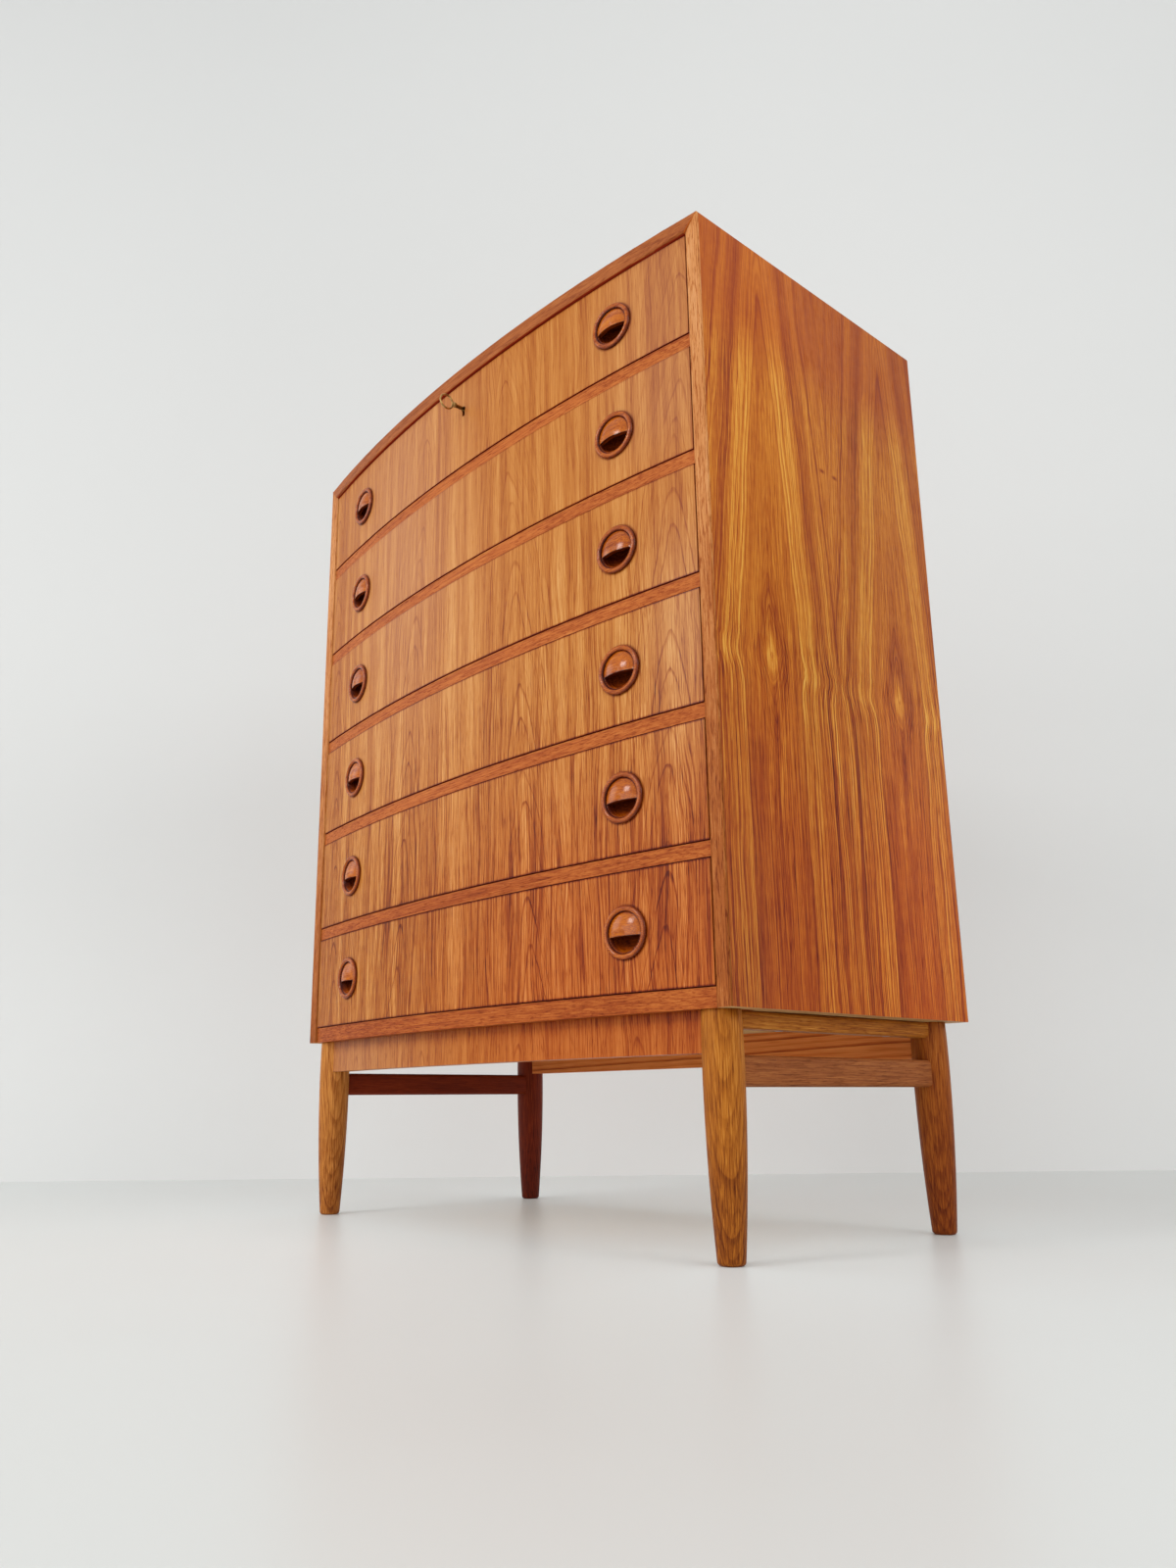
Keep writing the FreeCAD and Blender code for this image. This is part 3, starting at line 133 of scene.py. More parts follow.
# %% A wire between nodes
class Wire:
    """A number on its way between two nodes; arithmetic on it adds Math nodes."""

    def __init__(self, finish, socket):
        self.finish = finish
        self.socket = socket

    def maths(self, operation, *values):
        """One Math node that works on these values."""
        values = dict(enumerate(values))
        return self.finish.node("ShaderNodeMath", {"operation": operation}, values)

    def __add__(self, other):
        return self.maths("ADD", self, other)

    def __radd__(self, other):
        return self.maths("ADD", other, self)

    def __sub__(self, other):
        return self.maths("SUBTRACT", self, other)

    def __rsub__(self, other):
        return self.maths("SUBTRACT", other, self)

    def __mul__(self, other):
        return self.maths("MULTIPLY", self, other)

    def __rmul__(self, other):
        return self.maths("MULTIPLY", other, self)

    def __truediv__(self, other):
        return self.maths("DIVIDE", self, other)

    def __abs__(self):
        return self.maths("ABSOLUTE", self)

    def __neg__(self):
        return self.maths("MULTIPLY", self, -1.0)

    def floor(self):
        return self.maths("FLOOR", self)

    def fract(self):
        return self.maths("FRACT", self)

    def root(self):
        return self.maths("SQRT", self)

    def bell(self, width):
        """One at zero, falling off on both sides over width: e to the minus (x / width) squared."""
        scaled = self / width
        return self.maths("EXPONENT", -(scaled * scaled))

    def larger(self, other):
        return self.maths("MAXIMUM", self, other)

    def smaller(self, other):
        return self.maths("MINIMUM", self, other)

    def step(self, low, high):
        """Rises smoothly from 0 at low to 1 at high."""
        settings = {"interpolation_type": "SMOOTHSTEP"}
        return self.finish.node("ShaderNodeMapRange", settings, {0: self, 1: low, 2: high})


print("a wire can:", ", ".join(name for name in vars(Wire) if not name.startswith("_")))

# %% [markdown]
# ## A finish
#
# Every finish here is one Principled shader with patterns in front of it. Every node other than
# Math comes from one method, which sets the node up first and then feeds its sockets. The other
# methods name what a maker asks for: a place, a noise, a scale of colours, a bump.


# %% A finish and its tools
class Finish:
    """A material with one Principled shader, and the tools to draw its patterns."""

    def __init__(self, name):
        self.material = bpy.data.materials.new(name)
        self.material.use_nodes = True
        self.tree = self.material.node_tree
        self.shader = self.tree.nodes["Principled BSDF"]

    def feed(self, socket, value):
        """Links a wire to the socket, or writes a plain value onto it."""
        if isinstance(value, Wire):
            self.tree.links.new(value.socket, socket)
        else:
            socket.default_value = value

    def node(self, kind, settings=None, inputs=None, output=0):
        """A node of that kind: its settings first, then what its sockets hold."""
        node = self.tree.nodes.new(kind)
        settings = dict(settings or {})
        stops = settings.pop("stops", None)
        for name, value in settings.items():
            setattr(node, name, value)
        if stops:
            ramp = node.color_ramp
            ramp.elements[0].position, ramp.elements[0].color = stops[0]
            ramp.elements[1].position, ramp.elements[1].color = stops[-1]
            for place, colour in stops[1:-1]:
                ramp.elements.new(place).color = colour
        for name, value in (inputs or {}).items():
            self.feed(node.inputs[name], value)
        return Wire(self, node.outputs[output])

    def place(self):
        """The three object coordinates, in millimetres."""
        point = self.node("ShaderNodeTexCoord", output="Object")
        parts = [self.node("ShaderNodeSeparateXYZ", {}, {0: point}, axis) for axis in "XYZ"]
        return [part * (1.0 / MM) for part in parts]

    def noise(self, across, along, detail=2.0, rough=0.5):
        """Smooth noise between about 0 and 1 over two coordinates."""
        point = self.node("ShaderNodeCombineXYZ", {}, {"X": across, "Y": along})
        settings = {"noise_dimensions": "2D"}
        inputs = {"Vector": point, "Scale": 1.0, "Detail": detail, "Roughness": rough}
        return self.node("ShaderNodeTexNoise", settings, inputs)

    def noise_3d(self, x, y, z, detail=2.0):
        """Smooth noise between about 0 and 1 in space."""
        point = self.node("ShaderNodeCombineXYZ", {}, {"X": x, "Y": y, "Z": z})
        inputs = {"Vector": point, "Scale": 1.0, "Detail": detail}
        return self.node("ShaderNodeTexNoise", {}, inputs)

    def chance(self, number):
        """A random number between 0 and 1 for each value of number."""
        return self.node("ShaderNodeTexWhiteNoise", {"noise_dimensions": "1D"}, {"W": number})

    def tint(self, tone, stops):
        """A colour from a scale of tones."""
        coloured = [(place, srgb(*colour)) for place, colour in stops]
        return self.node("ShaderNodeValToRGB", {"stops": coloured}, {"Fac": tone})

    def blend(self, mask, first, second, how="MIX"):
        """The first colour where the mask is 0, the second where it is 1."""
        settings = {"data_type": "RGBA", "blend_type": how}
        inputs = {"Factor": mask, 6: first, 7: second}
        return self.node("ShaderNodeMix", settings, inputs, 2)

    def bump(self, height, strength, distance):
        """A normal that leans as if the surface rose with height; distance is in metres."""
        inputs = {"Height": height, "Strength": strength, "Distance": distance}
        return self.node("ShaderNodeBump", {}, inputs)

    def surface(self, colour, roughness, normal=None, **constants):
        """Feeds the shader; constants go straight onto its own sockets."""
        self.feed(self.shader.inputs["Base Color"], colour)
        self.feed(self.shader.inputs["Roughness"], roughness)
        if normal is not None:
            self.feed(self.shader.inputs["Normal"], normal)
        for name, value in constants.items():
            self.shader.inputs[name.replace("_", " ")].default_value = value
        return self.material


def srgb(red, green, blue):
    """A colour as it looks on a screen, 0 to 255, turned into light values."""
    def light(value):
        value /= 255.0
        return value / 12.92 if value <= 0.04045 else ((value + 0.055) / 1.055) ** 2.4

    return (light(red), light(green), light(blue), 1.0)


print("a finish can:", ", ".join(name for name in vars(Finish) if not name.startswith("_")))

# %% [markdown]
# ## Drawing with grain
#
# Three marks make up nearly all wood: strands, which are noise drawn out along the grain;
# rings, which are the dark end of a saw-tooth; and pores, short dashes where a fine noise is
# high. Each gives a number near 0 to 1 that lowers or raises the tone, and one scale of
# colours turns the tone into wood. A scanned picture of wood would be quicker, but it couldn't
# follow the joints of these boards. All lengths in the patterns are millimetres.


# %% Strands, rings and pores
def strands(wood, across, along, wide, long, detail=2.0, rough=0.5):
    """Noise drawn out along the grain, from about -0.5 to 0.5."""
    return wood.noise(across / wide, along / long, detail, rough) - 0.5


def ring_lines(wood, phase, along, thin=0.2, seed=0.0):
    """Late wood: a dark line at the end of each ring, each with its own strength."""
    inside, number = phase.fract(), phase.floor()
    line = inside.step(1.0 - thin, 1.0 - thin * 0.3) * (1.0 - inside.step(0.95, 1.0))
    strength = wood.chance(number + seed).step(0.1, 1.1)
    broken = wood.noise(number * 3.7, along / 55.0).step(0.3, 0.62)
    return line * strength * (0.3 + 0.7 * broken)


def hairlines(wood, number, along, wide, long, thin):
    """Thin wandering lines, where a noise crosses its middle value."""
    wave = strands(wood, number, along, wide, long, 1.0)
    return (1.0 - abs(wave) / thin).larger(0.0)


def pores(wood, across, along, wide=0.5, long=10.0, share=0.58):
    """Short dashes along the grain, where a stretched noise passes a threshold."""
    return wood.noise(across / wide, along / long, 2.0, 0.6).step(share, share + 0.14)


print("marks: strands, ring lines, hairlines, pores")

# %% [markdown]
# ## Teak veneer on the front
#
# A slice that misses the heart of the log cuts its cone-shaped rings into nested arches, the
# "cathedrals", with upright grain on both sides. Real rings could be cut out of a solid log in
# the shader, but then an arch can't be put where it is wanted. So each leaf of veneer is drawn
# on its own: lines of equal reach, which is the distance from the leaf's axis plus a share of
# the height. The leaves are book-matched: each one is turned over against its neighbour, so the
# figure is mirrored at every joint, and each drawer's leaves are cut a few rings further on.

# %% Teak tones
TEAK_TONES = [
    (0.00, (84, 24, 4)),
    (0.20, (130, 55, 12)),
    (0.35, (154, 77, 18)),
    (0.50, (177, 104, 37)),
    (0.65, (195, 127, 58)),
    (0.80, (210, 150, 84)),
    (1.00, (230, 182, 122)),
]
# RED_SHADE reddens painted shade, a painted reflection and the red heart of the side's spear;
# PALE_VEIL pales the wood where a sheen is painted, and a little low on the sides and near their
# front edges
RED_SHADE = (1.0, 0.73, 0.64, 1.0)
PALE_VEIL = srgb(226, 220, 214)
VENEER_SHINE = 0.12


def teak_with_sheen(wood, tone, painted_sheen, red):
    """Teak of a tone, with a painted pale sheen where light reflects off it, and a red multiply
    that paints shade.
    """
    colour = wood.blend(painted_sheen, wood.tint(tone, TEAK_TONES), PALE_VEIL)
    return wood.blend(red, colour, RED_SHADE, "MULTIPLY")


print(f"teak veneer in {len(TEAK_TONES)} tones")

# %% Places on the drawer fronts
front_low, front_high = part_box("drawer_6_front")
next_low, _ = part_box("drawer_5_front")
pull_low, pull_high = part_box("drawer_6_pulls")
FACE_RADIUS = (BOW_CENTRE - front_low[1]) / MM
DRAWER_FOOT = front_low[2] / MM
DRAWER_STEP = (next_low[2] - front_low[2]) / MM
FRONT_RISE = (front_high[2] - front_low[2]) / MM
PULL_RADIUS = (pull_high[2] - pull_low[2]) / 2 / MM
PULL_HEIGHT = (pull_high[2] + pull_low[2]) / 2 / MM
PULL_X = pull_high[0] / MM - PULL_RADIUS


def from_pull(x, z):
    """How far a point lies beside and above the nearest pull's centre, in millimetres."""
    beside = abs(x) - PULL_X
    turns = (z - PULL_HEIGHT) / DRAWER_STEP + 0.5
    return beside, (turns.fract() - 0.5) * DRAWER_STEP


def under_face(x, y):
    """Depth under the bowed face of the drawers: the radius of the face minus the distance
    from the bow's centre."""
    back = y - BOW_CENTRE / MM
    return FACE_RADIUS - (x * x + back * back).root()


print(f"drawers start at {DRAWER_FOOT:.1f} mm and repeat every {DRAWER_STEP:.2f} mm")
print(f"pulls of radius {PULL_RADIUS:.1f} mm at x = {PULL_X:.1f} mm")

# %% Arches of a leaf
FRONT_LEAF = 229.5
LEAN_HEIGHT = 530.0
ARCH_WIDTH = 58.0


def arches(wood, x, z, leaf, lean, foot, step):
    """Reach: the root of gap squared plus a little, with a share of the rise near the axis.

    The gap is the distance from the leaf's axis, which leans and sways with the height, and the
    rise is the height within the drawer. Lines of equal reach close above into arches.
    """
    drawer = ((z - foot) / step).floor()
    rise = z - foot - drawer * step
    own = wood.chance(drawer + 11.0)
    side = leaf - abs(abs(x) - leaf)
    sway = strands(wood, drawer * 9.1, z, 1.0, 170.0, 1.0) * 14.0
    gap = abs(side + (z - LEAN_HEIGHT) * lean + sway - leaf * 0.52)
    near = gap.bell(ARCH_WIDTH)
    swell = strands(wood, side, z + drawer * 50.0, 46.0, 190.0, 1.0) * 10.0
    wiggle = strands(wood, side, z, 8.0, 70.0) * 2.2
    reach = (gap * gap + 64.0).root() + rise * near * 0.19 + own * 9.0 + swell + wiggle
    return reach, near, side, rise, swell


print(f"leaves {FRONT_LEAF} mm wide, arches about {2 * ARCH_WIDTH:.0f} mm across")

# %% Figure of the front
WIDE_RING, NARROW_RING = 8.6, 3.9


def front_figure(wood, x, z, leaf, lean, foot, step, calm, vivid):
    """Tone: broad bands, streaks and fibres, less ring lines, hairlines and pores.

    The figure is crisper low down and calmer above the two heights in calm, where the light on the
    front is softer. Low down it is painted darker and redder, most of all on the right, as shade
    where less light reaches.
    """
    reach, near, side, rise, swell = arches(wood, x, z, leaf, lean, foot, step)
    calmer = z.step(*calm)
    quiet = 1.0 - calmer * 0.65
    crisp = 1.0 - calmer * 0.40 + (1.0 - z.step(420.0, 780.0)) * 0.7
    low = 1.0 - z.step(260.0, 640.0)
    # the marks, from the widest to the finest
    broad = strands(wood, side + x * 0.06, z, 26.0, 900.0, 3.0, 0.6)
    streak = strands(wood, x, z, 9.0, 500.0, 3.0, 0.6)
    bands = strands(wood, reach, z, 6.0, 1500.0)
    major = ring_lines(wood, reach / WIDE_RING, z, 0.19)
    minor = ring_lines(wood, reach / NARROW_RING + 0.37, z, 0.34, 5.0)
    hair = hairlines(wood, x + swell * 2.0, z, 4.6, 380.0, 0.075)
    fibres = strands(wood, x, z, 1.25, 70.0, 2.0, 0.6)
    dashes = pores(wood, x, z, 1.0, 24.0, 0.56)
    # what each of them adds to the tone
    figure = broad * 0.50 + streak * (0.26 - low * 0.14) + bands * 0.11 + fibres * crisp * 0.46
    figure = figure + (x + 10.0).bell(20.0) * 0.08 - (side - 57.0).bell(9.0) * 0.10
    figure = figure - major * (0.10 + near * 0.34) * quiet - minor * 0.08 - hair * crisp * 0.19
    tone = 0.625 + figure * vivid - dashes * crisp * 0.16
    # painted shade: darker and redder low down, most of all on the right
    tone = tone - low * (0.06 + x.step(220.0, 360.0) * 0.03)
    red = low * (0.05 + x.step(-260.0, 280.0) * 1.1).smaller(1.0)
    shine = 0.40 + fibres * 0.16 + dashes * 0.14
    relief = wood.bump(major * 0.4 + dashes, 0.12, 0.0004)
    return tone, red, rise, shine, relief


print(f"rings {WIDE_RING} and {NARROW_RING} mm apart")

# %% Veneer of the drawer fronts
FRONT_LEAN = 0.065
CALM_HEIGHTS = (640.0, 900.0)
VENEER_DEPTH = (0.6, 1.2)
# painted shade for the fronts' ends, which show only in the dark gaps
GAP_END_SHADE = srgb(120, 28, 8)


def drawer_front_finish(name):
    """The front's figure, with painted shade along the rims by the gaps and round each pull's foot,
    and a painted sheen.

    Just behind the veneer's depth a front is painted dark red, as shade on its ends where they show
    in the gaps, and deeper still it shows speckled end grain: only its ends and the rims of its
    holes show them.
    """
    wood = Finish(name)
    x, y, z = wood.place()
    tone, red, rise, shine, relief = front_figure(
        wood, x, z, FRONT_LEAF, FRONT_LEAN, DRAWER_FOOT, DRAWER_STEP, CALM_HEIGHTS, 1.0
    )
    high = z.step(*CALM_HEIGHTS)
    tone = tone - z.step(700.0, 960.0) * 0.05 - high * abs(x).step(300.0, 350.0) * 0.07
    # painted shade along the rims, where they meet the gaps
    rims = rise.bell(1.2) + (rise - FRONT_RISE).bell(1.2)
    tone = tone - rims * (0.44 - high * 0.28)
    beside, above = from_pull(x, z)
    ring = (beside * beside + above * above).root() - PULL_RADIUS
    # painted contact shade round the foot of each pull
    tone = tone - (ring - 0.4).bell(1.1) * 0.22
    # painted sheen: on the left half, at the right end of the middle drawers and on the upper right
    painted_sheen = (x + 140.0).bell(150.0) * z.step(420.0, 900.0) * 0.06
    painted_sheen = painted_sheen + (x - 360.0).bell(50.0) * (z - 620.0).bell(130.0) * 0.06
    painted_sheen = painted_sheen + (x - 350.0).bell(90.0) * z.step(780.0, 900.0) * 0.04
    colour = teak_with_sheen(wood, tone, painted_sheen, red)
    # painted shade on the ends just behind the face, where they show in the gaps
    depth = under_face(x, y)
    end_grain = wood.tint(wood.noise(y / 1.4, z, 3.0, 0.6) * 0.6 + 0.02, TEAK_TONES)
    inner = wood.blend(depth.step(2.0, 5.0), GAP_END_SHADE, end_grain)
    colour = wood.blend(depth.step(*VENEER_DEPTH), colour, inner)
    return wood.surface(colour, shine, relief, Specular_IOR_Level=VENEER_SHINE)


front_veneer = drawer_front_finish("teak_front_veneer")
print("finish:", front_veneer.name)

# %% Veneer of the apron
APRON_BASE = CASE_Z / MM - 140.0
APRON_STEP = 400.0
NEVER = (1e4, 2e4)


def apron_finish(name):
    """Narrower and fainter leaves, painted darker along the top as the shade of the case, with a
    painted sheen on the left.
    """
    wood = Finish(name)
    x, y, z = wood.place()
    tone, red, rise, shine, relief = front_figure(
        wood, x, z, FRONT_LEAF * 0.8, 0.0, APRON_BASE, APRON_STEP, NEVER, 0.55
    )
    # painted shade along the top, under the case
    tone = tone - rise.step(116.0, 140.0) * 0.13
    # painted sheen, on the left
    painted_sheen = 0.05 - x.step(-320.0, 60.0) * 0.05
    colour = teak_with_sheen(wood, tone, painted_sheen, red)
    return wood.surface(colour, shine, relief, Specular_IOR_Level=VENEER_SHINE)


apron_veneer = apron_finish("teak_apron_veneer")
print("finish:", apron_veneer.name)

# %% [markdown]
# ## Teak veneer on the sides
#
# Each side wears two leaves from the same log, one beside the other, so its figure shows
# twice. A small knot sits at the middle of each leaf. Above it the rings close into a long
# spear with a golden band on both edges, and below it they run straight down, because the
# trunk stops tapering there. Between the leaves the same rings meet in a long V. As on the
# front, every line follows from one number, the reach, so that bands, lines and fibres all bend
# round the knot together.

# %% Side tones and places
SIDE_TONES = [
    (0.00, (100, 26, 4)),
    (0.20, (150, 58, 8)),
    (0.35, (178, 88, 14)),
    (0.50, (204, 118, 30)),
    (0.65, (224, 149, 52)),
    (0.80, (236, 172, 72)),
    (1.00, (244, 198, 106)),
]
LEAF = 236.0
KNOT = 375.0
FIRST_AXIS = 90.0
AXIS_LEAN = 0.024
SPEAR_TAPER = 0.105
SIDE_SHINE = VENEER_SHINE * 0.7
print(f"leaves {LEAF:.0f} mm wide, knots {KNOT:.0f} mm above the case's foot")


# %% Side veneer
def side_veneer_finish(name, across, along, start, foot):
    """Tone by reach: plain inside the spear, gold on its edges, then a red-brown shade.

    The reach is the distance from the leaf's axis, plus a share of the height above the knot,
    drawn in under the knot and rippled beside it.
    """
    wood = Finish(name)
    place = wood.place()
    side, height = place[across] - start, place[along] - foot
    over = height - KNOT
    # where the point lies in its leaf, and its reach
    axis = FIRST_AXIS + over.larger(0.0) * AXIS_LEAN
    sway = strands(wood, side, height, 70.0, 260.0, 1.0) * 9.0
    leaf = ((side - axis + LEAF / 2) / LEAF).floor()
    off = side - axis - leaf * LEAF + sway
    level = over.bell(34.0)
    ripple = strands(wood, off, height, 20.0, 7.0, 1.0) * level * 1.8
    wiggle = strands(wood, side, height, 8.0, 110.0) * 2.2
    wiggle = wiggle + strands(wood, side, height, 24.0, 120.0) * 7.0
    pinch = 1.0 - over.step(-52.0, 6.0)
    reach = (off * off + 25.0).root() + over.larger(0.0) * SPEAR_TAPER
    reach = reach + pinch * off.bell(95.0) * 8.0 - (over + 12.0).bell(15.0) * 4.0 + ripple + wiggle
    # the golden band on the spear's edge, and the shades beside it
    above = over.step(-60.0, 60.0)
    strong = 1.0 - leaf.step(0.5, 1.5) * 0.25
    stripes = strands(wood, reach, height, 3.2, 1300.0, 2.0, 0.6)
    # painted reflection: a darker part of the room mirrored across the top, which darkens, reddens
    # and calms the figure
    top_reflection = (height - sway * 3.0).step(700.0, 800.0)
    even = 1.0 - top_reflection * 0.45
    gilded = reach.step(45.0, 58.0) * (1.0 - reach.step(70.0, 92.0))
    gold = gilded * (0.08 + above * 0.10 + (over + 12.0).bell(14.0) * 0.12) * strong
    gold = gold * (0.9 + stripes * 0.9) * even
    shade = (reach - 92.0).bell(9.0) * (0.04 + above * 0.10) + (reach - 44.0).bell(8.0) * 0.04
    outer = (reach - 112.0).bell(9.0) * 0.07 + reach.step(125.0, 150.0) * 0.04
    # the knot: a pale eye in dark flames
    flame = (off * off + 6.0).root() + abs(over + 3.0) * 0.27 + wiggle * 0.5
    eye = (1.0 - flame.step(4.0, 16.0)) * 0.27 - (flame - 24.0).bell(10.0) * 0.11
    flames = ring_lines(wood, flame / 5.0 + 0.3, height, 0.42, 3.0)
    flames = flames * (1.0 - flame.step(26.0, 50.0))
    core = (1.0 - reach.step(34.0, 60.0)) * (1.0 - above)
    pale = (abs(off) - 10.0).bell(2.6) * pinch * 0.13 * height.step(60.0, 300.0)
    # fine grain, strongest outside the spear
    striped = 0.35 + reach.step(46.0, 56.0) * 0.65
    lines = hairlines(wood, reach, height, 6.5, 1400.0, 0.09) * striped
    fine = strands(wood, reach, height, 2.2, 700.0, 2.0, 0.6) * striped
    edge = (reach - 51.5).bell(1.1) * 0.14 + (reach - 121.0).bell(1.6) * 0.07
    fibres = strands(wood, off, height, 1.5, 150.0, 3.0, 0.7)
    cloud = strands(wood, side, height, 50.0, 200.0)
    mottle = strands(wood, side, height, 9.0, 12.0)
    dashes = pores(wood, off, height, 1.0, 40.0, 0.55)
    marks = (abs(side - LEAF * 0.91) - 12.0).bell(4.0) * (height - 636.0 + side * 0.02).bell(2.2)
    # all of it together: painted shade low down, darker and redder, with a touch of pale tint there
    # and near the front edge; a painted reflection at the top, darker, redder and calmer
    # painted shade: darker and redder low down, where less light reaches
    low = 1.0 - height.step(120.0, 420.0)
    coarse = 1.0 - height.step(330.0, 480.0) * 0.35 - top_reflection * 0.40
    tone = 0.485 + gold - shade * even + outer + eye + pale + cloud * 0.18 + mottle * 0.09
    tone = tone - flames * 0.20 - core * 0.03 - low * 0.03 - top_reflection * 0.12
    tone = tone + (fine * 0.85 + fibres * 1.00 - lines * 0.28 - dashes * 0.24) * coarse
    tone = tone - edge - marks * 0.4
    red = (low * 0.6 + top_reflection * 0.38 + core * 0.3).smaller(1.0)
    colour = wood.blend(red, wood.tint(tone, SIDE_TONES), RED_SHADE, "MULTIPLY")
    pale_mix = 0.004 + low * 0.008 + (1.0 - side.step(20.0, 110.0)) * 0.011
    colour = wood.blend(pale_mix, colour, PALE_VEIL)
    shine = 0.42 + fibres * 0.16 + dashes * 0.14
    relief = wood.bump(lines * 0.4 + dashes, 0.12, 0.0004)
    return wood.surface(colour, shine, relief, Specular_IOR_Level=SIDE_SHINE)


side_veneer = side_veneer_finish("teak_side_veneer", 1, 2, FRONT_Y / MM, CASE_Z / MM)
top_veneer = side_veneer_finish("teak_top_veneer", 1, 0, FRONT_Y / MM, -CASE_X / MM)
print("finishes:", side_veneer.name, top_veneer.name)

# %% [markdown]
# ## Solid wood
#
# Rails, edgings, pulls and legs are sawn from the solid. The same rings run through the whole
# piece, so they are worked out in space: the distance from an axis that lies outside the
# piece. On a turned leg this draws arches by itself, because the round surface cuts the rings.
# A flat pattern wrapped round the leg would show a seam.


# %% Solid wood finishes
def grain_tone(wood, place, along, heart, ring=4.0, dark=0.14, pore=0.16, sway=4.0, taper=0.02,
               grain=1.0, fleck=0.0, lift=0.0, foot=None, fibrous=0.62):
    """The tone of solid wood and its open pores: rings about a heart, fibres along one axis.

    The reach is the distance from the heart, wandering a little and growing with the length.
    foot darkens the piece between two heights, and fleck adds short light dashes.
    """
    length = place[along]
    first, second = [place[axis] for axis in range(3) if axis != along]
    left, deep = first - heart[0], second - heart[1]
    wander = wood.noise_3d(first / 45.0, second / 45.0, length / 130.0) - 0.5
    reach = (left * left + deep * deep).root() + wander * sway + length * taper
    phase = reach / ring
    inside = phase.fract()
    late = inside.step(0.35, 0.9) * (1.0 - inside.step(0.92, 1.0))
    late = late * (0.3 + 0.7 * wood.chance(phase.floor()))
    fibre = wood.noise_3d(first / grain, second / grain, length / 42.0, 3.0) - 0.5
    cloud = wood.noise_3d(first / 34.0, second / 34.0, length / 120.0, 3.0) - 0.5
    dash = wood.noise_3d(first / (0.6 * grain), second / (0.6 * grain), length / 13.0)
    dash = dash.step(0.54, 0.66)
    tone = 0.53 + lift + fibre * fibrous + cloud * 0.30 - late * dark - dash * pore
    if foot:
        below, height, amount = foot
        tone = tone - (1.0 - place[2].step(below, height)) * amount
    if fleck:
        light = wood.noise_3d(first / 0.7, second / 0.7, length / 4.0 + 40.0).step(0.62, 0.72)
        tone = tone + light * fleck
    return tone, dash


def solid_wood(name, along, heart, tones, gloss=0.45, level=0.1, bump=0.15, **grain):
    """Wood with its grain along one axis and its heart at a point of the other two."""
    wood = Finish(name)
    tone, dash = grain_tone(wood, wood.place(), along, heart, **grain)
    relief = wood.bump(dash, bump, 0.0004)
    shine = gloss + dash * 0.12
    return wood.surface(wood.tint(tone, tones), shine, relief, Specular_IOR_Level=level)


print("solid wood: rings, fibres, clouds, pores and flecks")

# %% [markdown]
# ## Teak of the rails and edgings
#
# The rails between the drawers and the edges of the case are solid teak, coarser than the veneer
# and flecked with light pores. The faces that look down into the narrow gaps see little light, so
# they get finishes of their own in dark red, with their shade painted in. That keeps the gaps crisp
# without darkening the rails themselves.

# %% Teak rails and edgings
RAIL_TONES = [
    (0.0, (92, 28, 6)), (0.35, (152, 68, 22)), (0.55, (184, 99, 40)),
    (0.8, (204, 128, 62)), (1.0, (220, 158, 98)),
]
EDGE_TONES = [
    (0.0, (112, 44, 14)), (0.35, (166, 90, 36)), (0.55, (202, 134, 76)),
    (0.8, (218, 160, 110)), (1.0, (234, 190, 148)),
]
TOP_EDGE_TONES = [
    (0.0, (84, 28, 10)), (0.35, (136, 66, 28)), (0.55, (164, 90, 42)),
    (0.8, (184, 114, 62)), (1.0, (204, 142, 92)),
]
# painted shade: tones for the faces in the gaps and under the top
GAP_SHADE_TONES = [(0.0, (80, 12, 3)), (0.5, (112, 22, 5)), (1.0, (140, 40, 12))]
SHADOW_TONES = [(0.0, (96, 20, 6)), (0.5, (142, 38, 12)), (1.0, (170, 64, 24))]
RAIL_HEART = (-60.0, 1400.0)

rail_wood = solid_wood(
    "teak_rail", 0, RAIL_HEART, RAIL_TONES, ring=9.0, dark=0.10, fleck=0.16, pore=0.20,
    grain=1.8, foot=(200.0, 750.0, 0.08),
)
gap_shade_wood = solid_wood("teak_gap_shade", 0, RAIL_HEART, GAP_SHADE_TONES, gloss=0.7)
shadow_wood = solid_wood("teak_under_top_shade", 0, RAIL_HEART, SHADOW_TONES, gloss=0.7)
edging_upright = solid_wood(
    "teak_edging_upright", 2, (300.0, -420.0), EDGE_TONES, ring=8.0, dark=0.10, fleck=0.12,
    pore=0.26, grain=1.6, lift=0.045, foot=(250.0, 950.0, 0.26),
)
edging_level = solid_wood(
    "teak_edging_level", 0, (-420.0, 900.0), TOP_EDGE_TONES, ring=8.0, dark=0.12, fleck=0.10,
    grain=1.8,
)
print("teak:", rail_wood.name, edging_upright.name, edging_level.name)

# %% [markdown]
# ## Wood of the boxes and the back
#
# The drawer boxes are a pale wood that has never been oiled, and they run on pale runners. The
# bottoms and the back are plywood. Its face is peeled off the log like paper off a roll, so its
# rings are wide and wander far; the same finish does that with a wide ring and a strong sway.

# %% Pale wood and plywood
PALE_TONES = [
    (0.0, (150, 104, 58)), (0.4, (192, 148, 94)), (0.7, (212, 172, 120)), (1.0, (228, 198, 152)),
]

